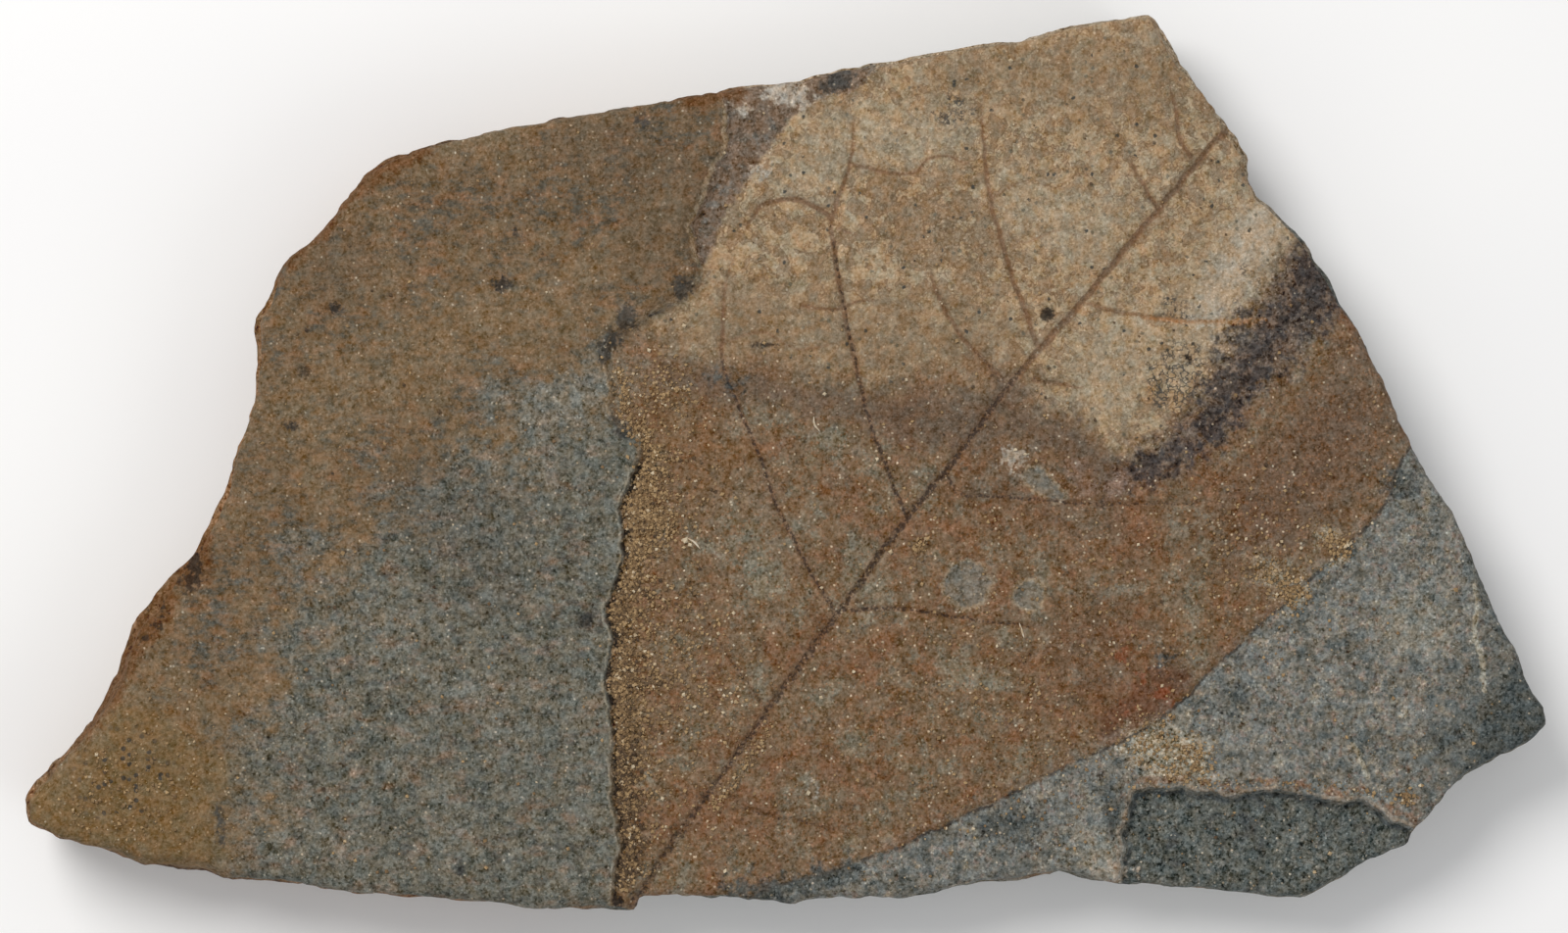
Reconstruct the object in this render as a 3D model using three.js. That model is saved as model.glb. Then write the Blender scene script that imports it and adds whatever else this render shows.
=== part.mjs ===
// A slab of bedded sandstone with the impression of a broad leaf, lying on its flat underside.
// Millimetres. X runs along the slab, Y across it and Z up, out of the face that carries the leaf.
// The slab is one body. Its face is a height above the underside, worked out for any point from the
// beds, the leaf, the veins and the damage. Its broken sides are rings that step in and out by the beds.

import * as THREE from 'three';
import { ConvexHull } from 'three/addons/math/ConvexHull.js';

// ---- Driving sizes ----------------------------------------------------------------------------------

const LEAF_BED = 14.6;          // height of the bed that carries the leaf
const UPPER_BED = 2.1;          // thickness of the bed that still covers the leaf's left side
const STEP_RUN = 0.7;           // how far the broken edge of the upper bed takes to come down
const STEP_LIP = 0.35;          // how far that edge stands up along its crest
const BLADE_RISE = 0.8;         // how far the middle of the blade stands above its margin
const MARGIN_DROP = 0.3;        // the small edge where the blade ends
const LAMINA_BULGE = 0.45;      // how far the blade swells between two veins
const RECESS_DEPTH = 1.6;       // a flake is lost there down to the next bed
const UNDULATION = 0.5;         // long, low waves of the bedding
const ROUGHNESS = 0.16;         // short waves

const RIM_RUN = 0.8;            // from the widest line of the slab in to the edge of its face
const RIM_DROP = 0.55;          // how far the worn edge lies below the face beside it
const RIM_GRAIN = 0.3;          // how ragged the outline is between its points

const OUTLINE_STEP = 2.25;      // spacing of points along the outline
const VEIN_STEP = 1.9;          // and along a vein or the leaf's margin
const BREAK_STEP = 1.5;         // and along the broken edge of the upper bed
const FIELD_STEP = 3.7;         // and over plain stretches of the face
const FIELD_JITTER = 1.9;       // how far those stray from a square grid
const SHOULDER = 1.3;           // from the rim in to the row of points beside it
const MIDRIB_BANK = 0.95;       // from the middle of the midrib's groove to its banks
const VEIN_BANK = 0.8;          // the same for a side vein
const WALL_HALF = 0.45;         // from the middle of a steep wall to its foot and crest

// ---- Outlines and lines, as [x, y] ------------------------------------------------------------------

// The widest line of the slab, clockwise from its upper left corner.
const OUTLINE = [
  [-54, 37.7], [-50.3, 39.6], [-45.3, 41.1], [-39.5, 42.5], [-33.9, 43.5], [-29.5, 44.4], [-22.8, 45.4],
  [-16.5, 46.7], [-10.3, 47.7], [-4.9, 48.5], [2.2, 49.4], [7.3, 50.7], [13.3, 51.7], [20.8, 53],
  [26.5, 54.1], [32.2, 54.9], [36.2, 56.1], [42.1, 57.2], [46.3, 57.7], [47.6, 56.4], [49, 54.2],
  [50.6, 51.6], [54.5, 46.6], [57.3, 42.5], [59.4, 39.2], [59.6, 36.5], [60.6, 34.1], [63.2, 31.9],
  [66.3, 28.5], [70.1, 22.6], [73.2, 17], [76.6, 10.9], [78.3, 6.1], [80.6, 1.6], [84.5, -4.5],
  [86.6, -8.1], [88.5, -12.6], [91, -18.8], [93, -22.8], [95, -27.4], [97.1, -30.8], [97.4, -33.5],
  [94.7, -36], [90.1, -38.3], [87.1, -39.8], [84.5, -43], [81.8, -45.9], [80.6, -46.7], [79.7, -48.9],
  [78, -49.6], [72.2, -52.6], [66.1, -55.7], [60.7, -55.4], [53.5, -54.8], [45.3, -54.3], [38.6, -53.3],
  [34.7, -52.4], [29.5, -53.5], [24.8, -53.6], [18.8, -55.2], [14.5, -55.8], [7.2, -55.8], [0.7, -56.4],
  [-4.8, -56.1], [-12.7, -55.6], [-18.4, -55.8], [-19.4, -57.4], [-25.3, -57.3], [-32.7, -57.2],
  [-36.7, -56.4], [-43.4, -55.8], [-51, -55.3], [-56.8, -54.9], [-63, -53.8], [-71.2, -53.4],
  [-74.4, -52.4], [-81.8, -51.7], [-85.9, -50.1], [-92.8, -48.3], [-97, -46], [-97.4, -42.6],
  [-94.7, -39], [-92, -35.8], [-88.5, -31.1], [-86.9, -28.4], [-85.4, -24.3], [-83.4, -19.1],
  [-81.2, -16.5], [-77.7, -13.1], [-75.5, -10.4], [-73, -5.5], [-70.5, 1.6], [-68.2, 8.7], [-67.8, 13.1],
  [-68.2, 18.2], [-66.3, 21.4], [-65.5, 23.9], [-64, 26.5], [-60, 29.6], [-57.3, 33.1], [-55.5, 35.6],
];

// Where a side leans out more than the rim does: a place on the outline, how far it leans and the
// length of side that does so.
const LEANING_SIDES = [
  { at: [-80, -19], run: 4.4, reach: 6 },
  { at: [-86.5, -28.5], run: 2.6, reach: 6 },
  { at: [-93.5, -38], run: 1.5, reach: 7 },
  { at: [-73.5, -7], run: 1.2, reach: 6 },
  { at: [-66.5, 20], run: 1.2, reach: 5 },
  { at: [-54, 37], run: 0.7, reach: 5 },
  { at: [-25, -57.4], run: 1.4, reach: 5 },
  { at: [58, 40.5], run: 1.5, reach: 4.5 },
  { at: [49.5, 53], run: 0.7, reach: 3.5 },
  { at: [-78, -52.5], run: 1.2, reach: 6 },
];

// The broken edge of the upper bed, from the top of the slab to its bottom.
const BROKEN_EDGE = [
  [-9.6, 52], [-8.7, 46.2], [-7.7, 41.6], [-9.9, 35.6], [-12.2, 29.9], [-11.2, 24], [-13.4, 21.5],
  [-17.8, 19], [-21.7, 16.1], [-22.8, 11.4], [-21.4, 5.7], [-18.5, 2.5], [-19.7, -1.6], [-21.2, -7.1],
  [-21, -11.9], [-22.9, -19.6], [-22.3, -21.9], [-22.8, -27.3], [-21.8, -33.2], [-22.2, -39.8],
  [-21.4, -46.9], [-22, -52.5], [-22.3, -60],
];

// The two margins of the blade. Its tip and its right side are broken off with the slab.
const UPPER_MARGIN = [
  [-16, 19], [-10.3, 25.5], [-7.9, 31.6], [-4.2, 37.1], [-0.4, 42.7], [2, 45.1], [5.2, 46.7], [8.5, 47.6],
  [15, 54], [24, 64],
];
const LOWER_MARGIN = [
  [90, 6], [79.7, 2.6], [77.8, -0.9], [76.6, -4.6], [71, -10.9], [63.5, -17.8], [54.7, -25.9],
  [47.2, -32.8], [37.2, -37.8], [24.7, -44], [12.2, -49.6], [6, -51.9], [-4, -55.1], [-14, -64],
];

const MIDRIB = [
  [56, 42.6], [47.2, 32.2], [38.5, 21.6], [32.8, 15.1], [27.2, 8.5], [21.6, 0.6], [15.3, -7.1],
  [6, -19.9], [-1.5, -30.3], [-9, -40.9], [-15.3, -49.6], [-20, -57],
];

// The side veins from the midrib outwards, first those on the upper side of the blade.
const SIDE_VEINS = [
  [[-2.3, -31.8], [-8.4, -22.9], [-12.5, -15], [-14.9, -10.3]],
  [[6.1, -18.8], [2, -11.8], [-1.4, -4.8], [-3.3, 0.6], [-6, 7.4], [-8, 12], [-8, 17.9], [-7.8, 22.9],
    [-5.8, 28.7]],
  [[15.2, -6.4], [12.6, 0], [10.7, 5.1], [8.8, 12.9], [6.8, 22.7], [5.8, 31.1], [6.8, 34.4],
    [8.2, 38.1], [8.5, 41.4]],
  [[5.8, 31.1], [4.2, 32.5], [1.8, 33.5], [-0.4, 33.6], [-2.8, 33], [-4.4, 31.1], [-5.8, 28.7]],
  [[27.6, 10.6], [23.3, 15.2], [19, 21.7], [18.2, 25]],
  [[32, 15.2], [28.7, 24.1], [26, 33.9], [25, 43.7], [25, 48.9]],
  [[47.2, 32.5], [44, 38.1], [43.2, 39.4]],
  [[51.6, 39.1], [50.2, 41.4], [49.6, 45.1], [48.6, 49.7]],
  [[-6.5, -42.4], [-5.3, -44], [2, -45.6], [7.8, -47.1], [11, -48.1]],
  [[6.9, -18.6], [14.1, -18.5], [23.3, -19.8], [32.2, -20.8], [37.2, -21.5]],
  [[20.3, -0.9], [21.6, -3.5], [28.6, -4.3], [39.3, -5.1], [49.7, -5.1], [59.8, -4.6]],
  [[37.8, 20.4], [45.8, 18.7], [53.7, 18.1], [57, 18.5]],
  [[31.6, 10.7], [35.5, 10], [38.6, 9.6]],
];

// The upper edge of the lost flake at the lower right, and its left side down to the slab's own edge.
const FLAKE_LIP = [
  [44.4, -41.7], [49.8, -41.5], [56, -42.4], [62.8, -41.8], [69, -43], [73.8, -43.3], [77.1, -45.6],
  [81.5, -47.3],
];
const FLAKE_SIDE = [[43.3, -58], [42.8, -51.1], [43.3, -49.6], [42.8, -47.3], [43.7, -44.9]];

// Pits, chips and blisters: place, radius, and depth (a negative depth stands up).
const SPOTS = [
  { at: [23, -15.3], radius: 3, depth: 0.35 },
  { at: [30.6, -16.5], radius: 2.1, depth: 0.3 },
  { at: [29.3, 0.4], radius: 1.8, depth: -0.35 },
  { at: [33.3, 19.1], radius: 0.9, depth: 0.5 },
  { at: [51.2, 13.4], radius: 0.7, depth: 0.4 },
  { at: [6, 3], radius: 3.2, depth: 0.3 },
  { at: [9.5, -12.5], radius: 2.6, depth: 0.3 },
  { at: [-3, -14.5], radius: 2.8, depth: 0.3 },
  { at: [-61.4, 11.8], radius: 1.3, depth: 0.5 },
  { at: [-57.4, 19.8], radius: 1, depth: 0.45 },
  { at: [-62.7, 4.7], radius: 1, depth: 0.45 },
  { at: [-36.2, 22.8], radius: 1.3, depth: 0.5 },
  { at: [-25.2, -20], radius: 1.1, depth: 0.6 },
  { at: [-41.5, -51.8], radius: 1, depth: 0.4 },
  { at: [-76.5, -14.5], radius: 1.6, depth: 1.2 },
  { at: [-84, -36], radius: 4.5, depth: -0.5 },
  { at: [-40, -30], radius: 9, depth: -0.5 },
  { at: [28, -45.5], radius: 3, depth: -0.4 },
  { at: [90, -30], radius: 5, depth: 0.5 },
];

// How the sides go down, bed by bed: share of the height from the face to the underside, share of the way
// out to the widest line, how far in from that line after it, and how deep the bed is bitten there.
const SIDE_RINGS = [
  { down: 0.06, out: 0.6, under: 0, bite: 0.3 },
  { down: 0.21, out: 0.75, under: 0, bite: 1 },
  { down: 0.26, out: 1, under: 0, bite: 0.4 },
  { down: 0.46, out: 1, under: 0, bite: 1.1 },
  { down: 0.51, out: 1, under: 0.4, bite: 1 },
  { down: 0.73, out: 1, under: 0.6, bite: 1.3 },
  { down: 0.78, out: 1, under: 1.2, bite: 1.3 },
  { down: 0.94, out: 1, under: 1.5, bite: 1.2 },
  { down: 1, out: 1, under: 2.5, bite: 1.4 },
];
const BED_WAVE = 0.22;          // how far the beds rise and fall along the sides, as a share of the height

// ---- Plane geometry ---------------------------------------------------------------------------------

const ease = (t) => THREE.MathUtils.smoothstep(t, 0, 1);

/** The slope that the noise has at a whole-number place: a direction that looks random but repeats. */
function slopeAt(i, j, seed) {
  const scattered = Math.sin(i * 127.1 + j * 311.7 + seed * 74.7) * 43758.5453;
  const turn = 2 * Math.PI * (scattered - Math.floor(scattered));
  return [Math.cos(turn), Math.sin(turn)];
}

/** Smooth gradient noise of the given wavelength, about -0.6 to 0.6. */
function wave(x, y, length, seed) {
  const [u, v] = [x / length, y / length];
  const [i, j] = [Math.floor(u), Math.floor(v)];
  const rise = (di, dj) => {
    const [gx, gy] = slopeAt(i + di, j + dj, seed);
    return gx * (u - i - di) + gy * (v - j - dj);
  };
  const { lerp, smootherstep } = THREE.MathUtils;
  const along = smootherstep(u - i, 0, 1);
  const near = lerp(rise(0, 0), rise(1, 0), along);
  const far = lerp(rise(0, 1), rise(1, 1), along);
  return lerp(near, far, smootherstep(v - j, 0, 1));
}

/** Points along a smooth curve through the given ones, about `step` apart. */
function smoothLine(line, step) {
  const curve = new THREE.CatmullRomCurve3(line.map(([x, y]) => new THREE.Vector3(x, y, 0)));
  const count = Math.max(2, Math.round(curve.getLength() / step));
  return curve.getSpacedPoints(count).map((p) => [p.x, p.y]);
}

/** Distance from a point to a line of points, and how far along the line the nearest place is, 0 to 1. */
function nearest(line, x, y) {
  let best = { distance: Infinity, along: 0 };
  for (let i = 0; i + 1 < line.length; i += 1) {
    const [ax, ay] = line[i];
    const [ux, uy] = [line[i + 1][0] - ax, line[i + 1][1] - ay];
    const t = THREE.MathUtils.clamp(((x - ax) * ux + (y - ay) * uy) / (ux * ux + uy * uy), 0, 1);
    const distance = Math.hypot(x - ax - t * ux, y - ay - t * uy);
    if (distance < best.distance) best = { distance, along: (i + t) / (line.length - 1) };
  }
  return best;
}

/** Whether a point lies inside a closed outline. */
function inside(outline, x, y) {
  let within = false;
  outline.forEach(([ax, ay], i) => {
    const [bx, by] = outline[(i + 1) % outline.length];
    if (ay > y !== by > y && x < ax + ((y - ay) / (by - ay)) * (bx - ax)) within = !within;
  });
  return within;
}

/** Points beside a line, at each of the given distances to its left. */
function beside(line, distances) {
  return line.flatMap(([x, y], i) => {
    const [ax, ay] = line[Math.max(0, i - 1)];
    const [bx, by] = line[Math.min(line.length - 1, i + 1)];
    const length = Math.hypot(bx - ax, by - ay);
    const [nx, ny] = [-(by - ay) / length, (bx - ax) / length];
    return distances.map((d) => [x + nx * d, y + ny * d]);
  });
}

// ---- The lines as curves ----------------------------------------------------------------------------

const FAR = 130;                // beyond the slab on every side
const brokenEdge = smoothLine(BROKEN_EDGE, 1);
const upperMargin = smoothLine(UPPER_MARGIN, 1.5);
const lowerMargin = smoothLine(LOWER_MARGIN, 1.5);
const flakeLine = [...smoothLine(FLAKE_SIDE, 1), ...smoothLine(FLAKE_LIP, 1)];

const covered = [...brokenEdge, [-FAR, -FAR], [-FAR, FAR]];
const blade = [...upperMargin, [FAR, FAR], ...lowerMargin, [-FAR, -FAR], [-FAR, 0]];
const flake = [...flakeLine, [FAR, -FAR], [43, -FAR]];

const veins = [
  { line: smoothLine(MIDRIB, 1.5), halfWidth: 0.75, depth: 0.75, taper: 0.35, atStart: false },
  ...SIDE_VEINS.map((line) => (
    { line: smoothLine(line, 1.2), halfWidth: 0.5, depth: 0.42, taper: 0.45, atStart: true })),
];

/** Distance inside a closed outline from its open line. It is negative outside. */
function depthInside(outline, line, x, y) {
  return nearest(line, x, y).distance * (inside(outline, x, y) ? 1 : -1);
}

// ---- Height of the face -----------------------------------------------------------------------------

/** The leaf bed without its leaf: long waves and a little roughness. */
function bedding(x, y) {
  return LEAF_BED + UNDULATION * wave(x, y, 46, 1) + ROUGHNESS * wave(x, y, 7, 2);
}

/** The blade: a low dome with an edge, swelling between its veins, and a groove along each vein. */
function bladeRelief(x, y) {
  const fromUpper = nearest(upperMargin, x, y).distance;
  const fromLower = nearest(lowerMargin, x, y).distance;
  const sign = inside(blade, x, y) ? 1 : -1;
  const within = Math.min(fromUpper, fromLower) * sign;
  if (within < -1) return 0;
  let groove = 0;
  let toVein = Infinity;
  for (const { line, halfWidth, depth, taper, atStart } of veins) {
    const { distance, along } = nearest(line, x, y);
    const towardsTip = atStart ? along : 1 - along;
    const shrink = 1 - taper * towardsTip;
    const fading = atStart ? 1 - along ** 6 : 1;
    const across = distance / (halfWidth * shrink);
    groove = Math.max(groove, depth * shrink * fading * Math.exp(-(across ** 2)));
    toVein = Math.min(toVein, distance);
  }
  const dome = BLADE_RISE * (1 - Math.exp(-Math.max(within, 0) / 14));
  const swell = LAMINA_BULGE * (1 - Math.exp(-toVein / 3)) * (1 - Math.exp(-Math.max(within, 0) / 1.2));
  const edge = MARGIN_DROP * ease((within + 0.4) / 0.8);
  return edge + dome + swell - groove * ease((within + 0.6) / 1.2);
}

/** The upper bed: a flat flake with a raised, broken lip along its edge. */
function upperBed(x, y) {
  const within = depthInside(covered, brokenEdge, x, y);
  const thickness = UPPER_BED * (1 + 0.3 * wave(x, y, 26, 5)) * (1 - 0.35 * ease((y - 18) / 22));
  const lip = STEP_LIP * Math.exp(-Math.max(within, 0) / 2.5);
  return { share: ease(0.5 + within / STEP_RUN), rise: thickness + lip };
}

/** The lost flake at the lower right: one bed down, with a steep wall under its lip. */
function lostFlake(x, y) {
  const within = depthInside(flake, flakeLine, x, y);
  const floor = RECESS_DEPTH * (1 - 0.25 * ease(within / 9));
  return floor * ease(0.5 + within / 0.8);
}

function spotRelief(x, y) {
  let depth = 0;
  for (const spot of SPOTS) {
    const distance = Math.hypot(x - spot.at[0], y - spot.at[1]) / spot.radius;
    depth += spot.depth * Math.exp(-(distance ** 4));
  }
  return depth;
}

function faceHeight(x, y) {
  const upper = upperBed(x, y);
  const leaf = upper.share < 1 ? bladeRelief(x, y) : 0;
  const relief = leaf * (1 - upper.share) + upper.rise * upper.share;
  return bedding(x, y) + relief - lostFlake(x, y) - spotRelief(x, y);
}

// ---- The rim and the sides --------------------------------------------------------------------------

/** The widest line, evenly spaced and a little ragged, with the way in at each point. */
function widestLine() {
  const closed = new THREE.CatmullRomCurve3(
    OUTLINE.map(([x, y]) => new THREE.Vector3(x, y, 0)), true, 'catmullrom', 0.2);
  const count = Math.round(closed.getLength() / OUTLINE_STEP);
  const points = closed.getSpacedPoints(count).slice(0, count);
  return points.map((p, i) => {
    const before = points[(i + count - 2) % count];
    const after = points[(i + 2) % count];
    const along = after.clone().sub(before).normalize();
    const inward = [along.y, -along.x];
    const ragged = RIM_GRAIN * Math.max(0, wave(p.x, p.y, 3.1, 7));
    return { x: p.x + inward[0] * ragged, y: p.y + inward[1] * ragged, inward };
  });
}

/** How far the face's edge lies in from the widest line. */
function rimRun(x, y) {
  return LEANING_SIDES.reduce((run, { at, run: extra, reach }) => (
    run + extra * Math.exp(-(((x - at[0]) ** 2 + (y - at[1]) ** 2) / reach ** 2))
  ), RIM_RUN * (1 + 0.4 * wave(x, y, 8, 9)));
}

const widest = widestLine();
const rim = widest.map(({ x, y, inward }) => {
  const run = rimRun(x, y);
  const [rx, ry] = [x + inward[0] * run, y + inward[1] * run];
  return [rx, ry, faceHeight(rx, ry) - RIM_DROP * (1 + 0.5 * wave(x, y, 5, 11))];
});

/** One ring of the sides, below the rim. */
function sideRing({ down, out, under, bite }, level) {
  return widest.map(({ x, y, inward }, i) => {
    const broad = Math.max(0, wave(x, y, 21, 20 + 3 * level) + 0.15);
    const fine = Math.abs(wave(x, y, 6.5, 21 + 3 * level));
    const undercut = under * (1 + 0.7 * wave(x, y, 17, 40));
    const inset = rimRun(x, y) * (1 - out) + undercut + bite * (2.2 * broad + 0.9 * fine);
    const warped = down + BED_WAVE * 4 * down * (1 - down) * wave(x, y, 33, 60);
    return [x + inward[0] * inset, y + inward[1] * inset, rim[i][2] * (1 - warped)];
  });
}

// ---- Points on the face -----------------------------------------------------------------------------

/** A store of plane points that keeps newcomers a given distance apart. */
class SpacedPoints {
  constructor(points) {
    this.points = [];
    this.cells = new Map();
    points.forEach((p) => this.keep(p));
  }

  cellAt(x, y) {
    return `${Math.floor(x / FIELD_STEP)},${Math.floor(y / FIELD_STEP)}`;
  }

  keep(p) {
    this.points.push(p);
    this.cells.set(this.cellAt(...p), [...(this.cells.get(this.cellAt(...p)) ?? []), p]);
  }

  crowded([x, y], gap) {
    const shifts = [-FIELD_STEP, 0, FIELD_STEP];
    return shifts.some((dx) => shifts.some((dy) => (
      (this.cells.get(this.cellAt(x + dx, y + dy)) ?? []).some((p) => Math.hypot(x - p[0], y - p[1]) < gap)
    )));
  }

  /** Adds those of the points that lie in the rim, clear of it and of the points kept so far. */
  add(points, gap, fromRim = 1) {
    for (const p of points) {
      const clear = inside(rim, ...p) && nearest(rim, ...p).distance >= fromRim;
      if (clear && !this.crowded(p, gap)) this.keep(p);
    }
  }
}

/** The middle of a spot and a ring of points around it. */
function spotPoints({ at: [x, y], radius }) {
  const turns = Array.from({ length: 7 }, (_, i) => (i / 7) * 2 * Math.PI);
  const ring = turns.map((a) => [x + 1.1 * radius * Math.cos(a), y + 1.1 * radius * Math.sin(a)]);
  return [[x, y], ...ring];
}

/** A square grid of points over the slab, each strayed a little. */
function fieldPoints() {
  const field = [];
  for (let x = -100; x < 100; x += FIELD_STEP) {
    for (let y = -60; y < 60; y += FIELD_STEP) {
      field.push([x + FIELD_JITTER * wave(x, y, 2.3, 13), y + FIELD_JITTER * wave(x, y, 2.3, 17)]);
    }
  }
  return field;
}

/** Points for the face, the rim's own first, then rows beside each line, then plain stretches. */
function facePoints() {
  const face = new SpacedPoints(rim.map(([x, y]) => [x, y]));
  const row = (line, step, distances, gap) => face.add(beside(smoothLine(line, step), distances), gap);
  face.add(widest.map(({ inward }, i) => (
    [rim[i][0] + inward[0] * SHOULDER, rim[i][1] + inward[1] * SHOULDER])), 1, 1.1);
  row(BROKEN_EDGE, BREAK_STEP, [-STEP_RUN / 2, STEP_RUN / 2], 0.5);
  face.add(beside(flakeLine, [-WALL_HALF, WALL_HALF]), 0.5);
  row(MIDRIB, VEIN_STEP, [0, -MIDRIB_BANK, MIDRIB_BANK], 0.6);
  SIDE_VEINS.forEach((line) => row(line, VEIN_STEP, [0, -VEIN_BANK, VEIN_BANK], 0.6));
  row(UPPER_MARGIN, VEIN_STEP, [-WALL_HALF, WALL_HALF], 0.6);
  row(LOWER_MARGIN, VEIN_STEP, [-WALL_HALF, WALL_HALF], 0.6);
  SPOTS.forEach((spot) => face.add(spotPoints(spot), 0.8));
  face.add(fieldPoints(), FIELD_STEP * 0.6, 1.5);
  return face.points;
}

/** Delaunay triangles of plane points: the underside of the hull of the points raised to a paraboloid. */
function triangulate(points) {
  const raised = points.map(([x, y]) => new THREE.Vector3(x, y, x * x + y * y));
  const indexOf = new Map(raised.map((p, i) => [p, i]));
  const hull = new ConvexHull().setFromPoints(raised);
  return hull.faces.filter((face) => face.normal.z < 0).map((face) => {
    const edges = [face.edge, face.edge.next, face.edge.prev];
    const corners = edges.map((edge) => indexOf.get(edge.head().point));
    const [a, b, c] = corners.map((i) => points[i]);
    const turn = (b[0] - a[0]) * (c[1] - a[1]) - (b[1] - a[1]) * (c[0] - a[0]);
    return turn > 0 ? corners : corners.reverse();
  });
}

// ---- The slab ---------------------------------------------------------------------------------------

function slabGeometry() {
  const count = rim.length;
  const points = facePoints();
  const vertices = points.map(([x, y], i) => (i < count ? rim[i] : [x, y, faceHeight(x, y)]));
  const triangles = triangulate(points).filter((corners) => {
    const [x, y] = [0, 1].map((axis) => corners.reduce((sum, i) => sum + points[i][axis], 0) / 3);
    return inside(rim, x, y);
  });
  let above = 0;                // index of the first vertex of the ring above
  SIDE_RINGS.forEach((ring, level) => {
    const below = vertices.length;
    vertices.push(...sideRing(ring, level));
    for (let i = 0; i < count; i += 1) {
      const next = (i + 1) % count;
      triangles.push([above + i, above + next, below + i], [above + next, below + next, below + i]);
    }
    above = below;
  });
  const foot = vertices.slice(above).map(([x, y]) => new THREE.Vector2(x, y));
  for (const [a, b, c] of THREE.ShapeUtils.triangulateShape(foot, [])) {
    const turn = foot[b].clone().sub(foot[a]).cross(foot[c].clone().sub(foot[a]));
    triangles.push(turn < 0 ? [above + a, above + b, above + c] : [above + a, above + c, above + b]);
  }
  const geometry = new THREE.BufferGeometry();
  geometry.setAttribute('position', new THREE.Float32BufferAttribute(vertices.flat(), 3));
  geometry.setIndex(triangles.flat());
  geometry.computeVertexNormals();
  return geometry;
}

const stone = new THREE.MeshStandardMaterial({ color: '#85705a', roughness: 0.92, metalness: 0 });
const slab = new THREE.Mesh(slabGeometry(), stone);
slab.name = 'fossil_leaf_slab';
const middle = new THREE.Box3().setFromObject(slab).getCenter(new THREE.Vector3());
slab.position.set(-middle.x, -middle.y, 0);

const part = new THREE.Group();
part.add(slab);

export default part;
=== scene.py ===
"""The looks of a fossil leaf slab: its dense stone mesh, its colours, and the sand on its face.

Lengths are in millimetres until a mesh is made. X runs along the slab, Y across it and Z up, out of the
face that carries the leaf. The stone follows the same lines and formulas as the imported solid, with finer
relief, and it is centred on that solid's box.
"""

import math

import bpy
import numpy as np
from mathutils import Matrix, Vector
from mathutils.geometry import delaunay_2d_cdt


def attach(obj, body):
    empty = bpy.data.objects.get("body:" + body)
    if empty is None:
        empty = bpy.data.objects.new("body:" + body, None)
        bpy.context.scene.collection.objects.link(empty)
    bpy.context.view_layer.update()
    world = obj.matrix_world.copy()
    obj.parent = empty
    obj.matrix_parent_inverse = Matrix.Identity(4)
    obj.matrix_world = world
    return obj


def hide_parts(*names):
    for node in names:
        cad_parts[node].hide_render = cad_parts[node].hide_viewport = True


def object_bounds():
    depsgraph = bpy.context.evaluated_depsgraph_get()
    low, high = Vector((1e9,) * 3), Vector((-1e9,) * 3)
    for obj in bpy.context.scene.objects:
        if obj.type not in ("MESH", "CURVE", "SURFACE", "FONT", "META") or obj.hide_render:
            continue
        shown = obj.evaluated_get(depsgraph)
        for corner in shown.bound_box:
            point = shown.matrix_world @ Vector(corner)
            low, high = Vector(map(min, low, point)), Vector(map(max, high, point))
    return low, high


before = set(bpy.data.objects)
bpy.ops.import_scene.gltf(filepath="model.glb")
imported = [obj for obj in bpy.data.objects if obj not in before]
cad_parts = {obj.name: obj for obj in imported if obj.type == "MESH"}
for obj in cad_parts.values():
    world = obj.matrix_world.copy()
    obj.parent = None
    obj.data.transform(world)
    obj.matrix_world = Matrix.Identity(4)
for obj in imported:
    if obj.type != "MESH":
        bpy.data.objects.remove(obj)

CAD_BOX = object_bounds()
NODE = "fossil_leaf_slab"
MM = 0.001

# ---- Driving sizes, as in the solid

LEAF_BED = 14.6         # height of the bed that carries the leaf
UPPER_BED = 2.1         # thickness of the bed that still covers the leaf's left side
STEP_RUN = 0.7          # how far the broken edge of the upper bed takes to come down
WORN_RUN = 2.2          # and how much farther where it is worn, towards the top
STEP_LIP = 0.35         # how far that edge stands up along its crest
BLADE_RISE = 0.8        # how far the middle of the blade stands above its margin
MARGIN_DROP = 0.3       # the small edge where the blade ends
LAMINA_BULGE = 0.45     # how far the blade swells between two veins
RECESS_DEPTH = 1.6      # a flake is lost there down to the next bed
UNDULATION = 0.5        # long, low waves of the bedding
ROUGHNESS = 0.16        # short waves
RIM_RUN = 0.8           # from the widest line of the slab in to the edge of its face
RIM_DROP = 0.55         # how far the worn edge lies below the face beside it
RIM_GRAIN = 0.3         # how ragged the outline is between its points
BED_WAVE = 0.22         # how far the beds rise and fall along the sides, as a share of the height

# ---- Sizes of the dense mesh

RIM_STEP = 0.6          # spacing of points along the rim
FIELD_STEP = 0.62       # and over plain stretches of the face
LINE_STEP = 0.42        # and along a vein, a margin or a broken edge
SIDE_STEP = 0.56        # and down the sides
UNDER_STEP = 3.2        # and over the underside
CURVE_STEP = 0.5        # and along the curves that distances are taken from
ROW_CELL = 0.11         # rows of points keep one in each square of this size
FIELD_CELL = 0.42       # and the plain stretches keep none in a square that has one of theirs
RIM_GAP = 0.28          # the nearest that a point of the face comes to its rim
UNDER_GAP = 1.2         # and one of the underside to its own
HALF_LENGTH, HALF_WIDTH = 100, 60   # the slab lies inside these
# How far the rows of points lie beside the broken edge, the flake's lip and the blade's margins.
EDGE_ROWS = [-0.75, -0.35, -0.17, 0, 0.17, 0.35, 0.75]
LIP_ROWS = [-0.75, -0.4, -0.2, 0, 0.2, 0.4, 0.75]
MARGIN_ROWS = [-0.35, 0, 0.35]

# ---- Outlines and lines, as [x, y], as in the solid

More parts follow.
